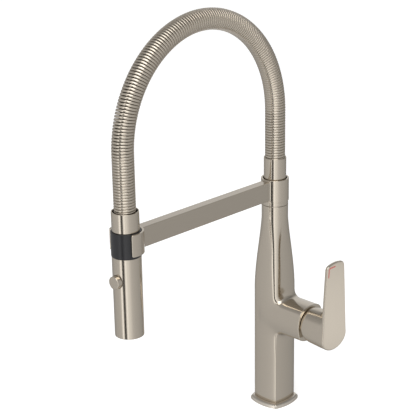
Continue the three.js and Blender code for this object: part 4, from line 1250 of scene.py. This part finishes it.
def centreline(start, end, count):
    """Evenly spaced points up the column side, over half an ellipse and down the head side."""
    up = np.linspace((0, 0, start), (0, 0, springing), 400)
    angle = np.linspace(0, np.pi, 2000)[1:-1]
    forward, upward = reach / 2 * (1 - np.cos(angle)), arch_rise * np.sin(angle)
    over = np.column_stack([0 * angle, -forward, springing + upward])
    down = np.linspace((0, -reach, springing), (0, -reach, end), 400)
    rough = np.concatenate([up, over, down])
    lengths = np.concatenate([[0], np.cumsum(np.linalg.norm(np.diff(rough, axis=0), axis=1))])
    even = np.linspace(0, lengths[-1], count)
    return np.column_stack([np.interp(even, lengths, rough[:, i]) for i in range(3)]), lengths[-1]


def across_line(line):
    """Direction of the line at each point, and the two directions square to it."""
    ahead = unit(np.gradient(line, axis=0))
    side = np.tile((1.0, 0.0, 0.0), (len(line), 1))
    return ahead, side, np.cross(ahead, side)


# %% [markdown]
# The turns lie almost against each other, with a gap of about a fifth of a millimetre. Round the arch they
# come closer on its inside and apart on its outside, and the wire's width goes with them, so that the gap
# stays even. Twenty steps a turn and eleven points round the wire are enough for turns this small.

# %% Wind the spring
def wound_wire(centre, radial, ahead, section):
    """Rows of a wire with closed ends. A section point is how far out it lies and how far along."""
    rows = np.stack([centre + out_by * radial + along * ahead for out_by, along in section], axis=1)
    start, end = (np.tile(centre[i], (1, len(section), 1)) for i in (0, -1))
    return np.concatenate([start, rows, end])


def blend_over_arch(piece):
    """Takes a piece off its body and bakes its place into its mesh."""
    piece.parent = None
    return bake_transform(piece)


def build_coil():
    pitch, steps = 3.18, 20
    start, end = coil_foot + wire / 2, coil_end + wire / 2
    _, length = centreline(start, end, 10)
    turns = round(length / pitch)
    line, _ = centreline(start, end, turns * steps + 1)
    ahead, side, out = across_line(line)
    wound = np.linspace(0, 2 * np.pi * turns, len(line))[:, None]
    radial = np.cos(wound) * side + np.sin(wound) * out
    centre = line + (coil_radius - wire / 2) * radial
    spacing = np.linalg.norm(centre[steps:] - centre[:-steps], axis=1)[:, None]
    ahead = ahead * np.concatenate([spacing[:steps // 2], spacing, spacing[-steps // 2:]]) / pitch
    face, half = wire / 2, 1.5
    one_side = [(face - 0.04, 0.8), (face - 0.2, 1.2), (face - 0.55, 1.4), (0, half), (-face, half - 0.4)]
    section = [(face, 0)] + one_side + [(out_by, -along) for out_by, along in reversed(one_side)]
    rows = wound_wire(centre, radial, ahead, section)
    print(f"spring: {turns} turns on {length:.0f} mm")
    nodes = ["spring_arch", "spring_drop"]
    return add_piece("coil_spring", [sheet(rows)], nickel_wire, "spout", nodes, crease=60)


# %% Hose in the spring
hose_rubber = moulded("hose_rubber", "grey_plastic", (0.05, 0.05, 0.052), 1200, 0.5)


def build_hose():
    outer, inner = 7.0, 5.5
    line, _ = centreline(cad("upper_hose_crimp")[0][2], cad("lower_hose_crimp")[0][2], 260)
    _, side, out = across_line(line)
    around = np.linspace(0, 2 * np.pi, 24, endpoint=False)
    ways = np.cos(around)[None, :, None] * side[:, None] + np.sin(around)[None, :, None] * out[:, None]
    rows = np.concatenate([line[:, None] + outer * ways, line[::-1, None] + inner * ways[::-1]])
    sheets = [sheet(rows, along=True)]
    return add_piece("hose_in_spring", sheets, hose_rubber, "spout", ["inner_hose"], crease=60)


for piece in (build_coil(), build_hose()):
    blend_over_arch(piece)

# %% [markdown]
# ## The spray head
# The head hangs on the hose and is turned a little, so that its button looks towards the user. All its
# pieces are made about Z with the button at -Y, and then turned and moved to the head's place together. The
# ferrule is a cup that holds the spring's end. Below it the black collar sits in the dock.

# %% Ferrule and collar
head_turn = math.radians(2)


def to_head(rows):
    """Turns rows about Z by the head's small turn and moves them to the head's axis."""
    x, y = rows[..., 0], rows[..., 1]
    cos, sin = math.cos(head_turn), math.sin(head_turn)
    return np.stack([cos * x - sin * y, sin * x + cos * y - reach, rows[..., 2]], -1)


def build_ferrule():
    outer, low, high = round_size("spring_ferrule")
    inner, skirt_outer, skirt_inner = outer - 1.3, 11.0, 9.2
    cup = dock_high[2] + 0.6
    shape = profile((skirt_inner, low), (skirt_outer, low), (skirt_outer, cup), (outer, cup, 0.4),
                    (outer, high, 0.45), (inner, high, 0.3), (inner, cup + 4), (skirt_inner, cup + 4))
    return add_turned("ferrule_cup", shape, nickel, "hose_end", ["spring_ferrule"], to_head)


def build_collar():
    outer, low, high = round_size("dock_collar")
    mouth, room, ledge = 11.4, outer - 0.9, high - 11.2
    shape = profile((room, low), (outer, low, 0.35), (outer, high, 0.6), (mouth, high, 0.3), (mouth, ledge),
                    (room, ledge))
    return add_turned("dock_band", shape, black_plastic, "spray_head", ["dock_collar"], to_head)


build_ferrule()
build_collar()

# %% [markdown]
# The body of the head is a tube with a hole for the button. The button is a turned cup, slightly crowned,
# that stands a few millimetres proud. It is turned about Z and then laid along the head's -Y.

# %% Head and button
button_height = 240.5
button_radius = 7.4
button_face = 21.4


def along_button(rows):
    """Lays rows made about Z along the way that the button faces."""
    return to_head(np.stack([rows[..., 0], -rows[..., 2], button_height + rows[..., 1]], -1))


def build_head():
    outer, low, high = round_size("spray_body")
    inner = outer - 1.1
    shape = profile((inner, low, 0.3), (outer, low, 0.9), (outer, high, 0.3), (inner, high), steps=5)
    wall = [(outer, z) for z in np.linspace(low, high, 20)[1:-1]]  # after the two lower edges' 12 points
    rows = to_head(turned(np.concatenate([shape[:12], wall, shape[12:]]), 160))
    head = add_piece("head_shell", [sheet(rows, along=True)], nickel, "spray_head", ["spray_body"])
    axis, front = to_head(np.array([(0, 0, button_height), (0, -1, button_height)], float))
    drill(head, axis, front - axis, button_radius + 0.4, depth=30)
    return even_shading(head)


def build_button():
    rim, crown, back = 0.9, 0.35, 13.6
    top = [(0, button_face), (3, button_face - 0.05), (5.2, button_face - 0.18)]
    edge = [(button_radius - rim * (1 - math.sin(a)), button_face - crown - rim * (1 - math.cos(a)))
            for a in np.linspace(0, np.pi / 2, 7)]
    inside = [(button_radius, back), (5.8, back), (5.8, button_face - 2), (0, button_face - 2)]
    rows = along_button(turned(np.array(top + edge + inside), 72))
    return even_shading(add_piece("head_button", [sheet(rows)], nickel, "button", ["spray_button"]))


build_head()
build_button()

# %% [markdown]
# A small coil behind the button pushes it out again. It is taken off its body and stays where it is
# built.

# %% Coil behind the button
def build_button_coil():
    low, high = cad("button_spring")
    thickness, turns = 0.5, 5
    near, far = -(high[1] + reach) + thickness, -(low[1] + reach) - thickness
    wound = np.linspace(0, 2 * np.pi * turns, 16 * turns + 1)
    radial = round_z(1, wound, 0)
    middle = (high[2] - low[2]) / 2 - thickness / 2
    centre = middle * radial + np.linspace((0, 0, near), (0, 0, far), len(wound))
    around = np.linspace(0, 2 * np.pi, 8, endpoint=False)
    section = thickness / 2 * np.column_stack([np.cos(around), np.sin(around)])
    rows = along_button(wound_wire(centre, radial, np.array((0, 0, 1)), section))
    coil = add_piece("button_coil", [sheet(rows)], steel, "spray_head", ["button_spring"])
    coil.parent = None
    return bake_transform(coil)


build_button_coil()

# %% [markdown]
# Underneath, the head carries a plastic plate with two rings of soft rubber nozzles round the aerator. The
# nozzles are small domes that stand through the plate. They can be rubbed clean of scale with a thumb.

# %% Spray plate and nozzles
aerator_bore = 7.2


def build_spray_plate():
    outer, low, high = round_size("spray_face")
    shape = profile((aerator_bore, low, 0.4), (outer, low, 0.5), (outer, high), (aerator_bore, high))
    add_turned("spray_plate", shape, grey_plastic, "spray_head", ["spray_face"], to_head)


def build_nozzles():
    outer, _, top = round_size("nozzle_mat")
    _, plate, _ = round_size("spray_face")
    bottom = top - 2
    step = (outer - aerator_bore) / 3
    dome = np.array([(0, -0.9), (0.35, -0.88), (0.6, -0.72), (0.72, -0.4), (0.8, 0.2), (0.8, 0.6)])
    nozzle = turned(dome + (0, plate), 12)
    sheets = []
    for ring, count in enumerate((10, 14), start=1):
        for angle in np.linspace(0, 2 * np.pi, count, endpoint=False):
            sheets.append(sheet(to_head(nozzle + round_z(aerator_bore + step * ring, angle, 0))))
    mat = profile((aerator_bore, bottom), (outer, bottom), (outer, top), (aerator_bore, top))
    sheets.append(sheet(to_head(turned(mat, 48)), along=True))
    add_piece("spray_nozzles", sheets, rubber, "spray_head", ["nozzle_mat"])


build_spray_plate()
build_nozzles()

# %% [markdown]
# ## What stays from the frame
# The cartridge, tubes, screws, seals and magnets are hidden inside, or show only as a screw in its hole.
# Their shapes in the frame are right as they are, so they stay, and only take a better finish: each one the
# finish that its record names.

# %% Finishes for the remaining nodes
looks = (nickel, brass, copper, steel, magnet, ceramic, white_plastic, grey_plastic, black_plastic, rubber,
         enamel)
finishes = {look["slot"]: look for look in looks}
kept = 0
for part in frame["record"]["subparts"]:
    shape = frame["nodes"][part["node"]]
    shape.data.materials.clear()
    shape.data.materials.append(finishes[part["material_slot"]])
    kept += not shape.hide_render
print(kept, "nodes of the frame still show")

# %% [markdown]
# The last step prints the frame's box and the finished faucet's box, so that the two can be compared.

# %% Print the two boxes
boxes = {"cad": [list(corner) for corner in cad_box], "visual": [list(corner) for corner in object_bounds()]}
for name, (low, high) in boxes.items():
    print(name, [round(value / MM, 1) for value in low], [round(value / MM, 1) for value in high])
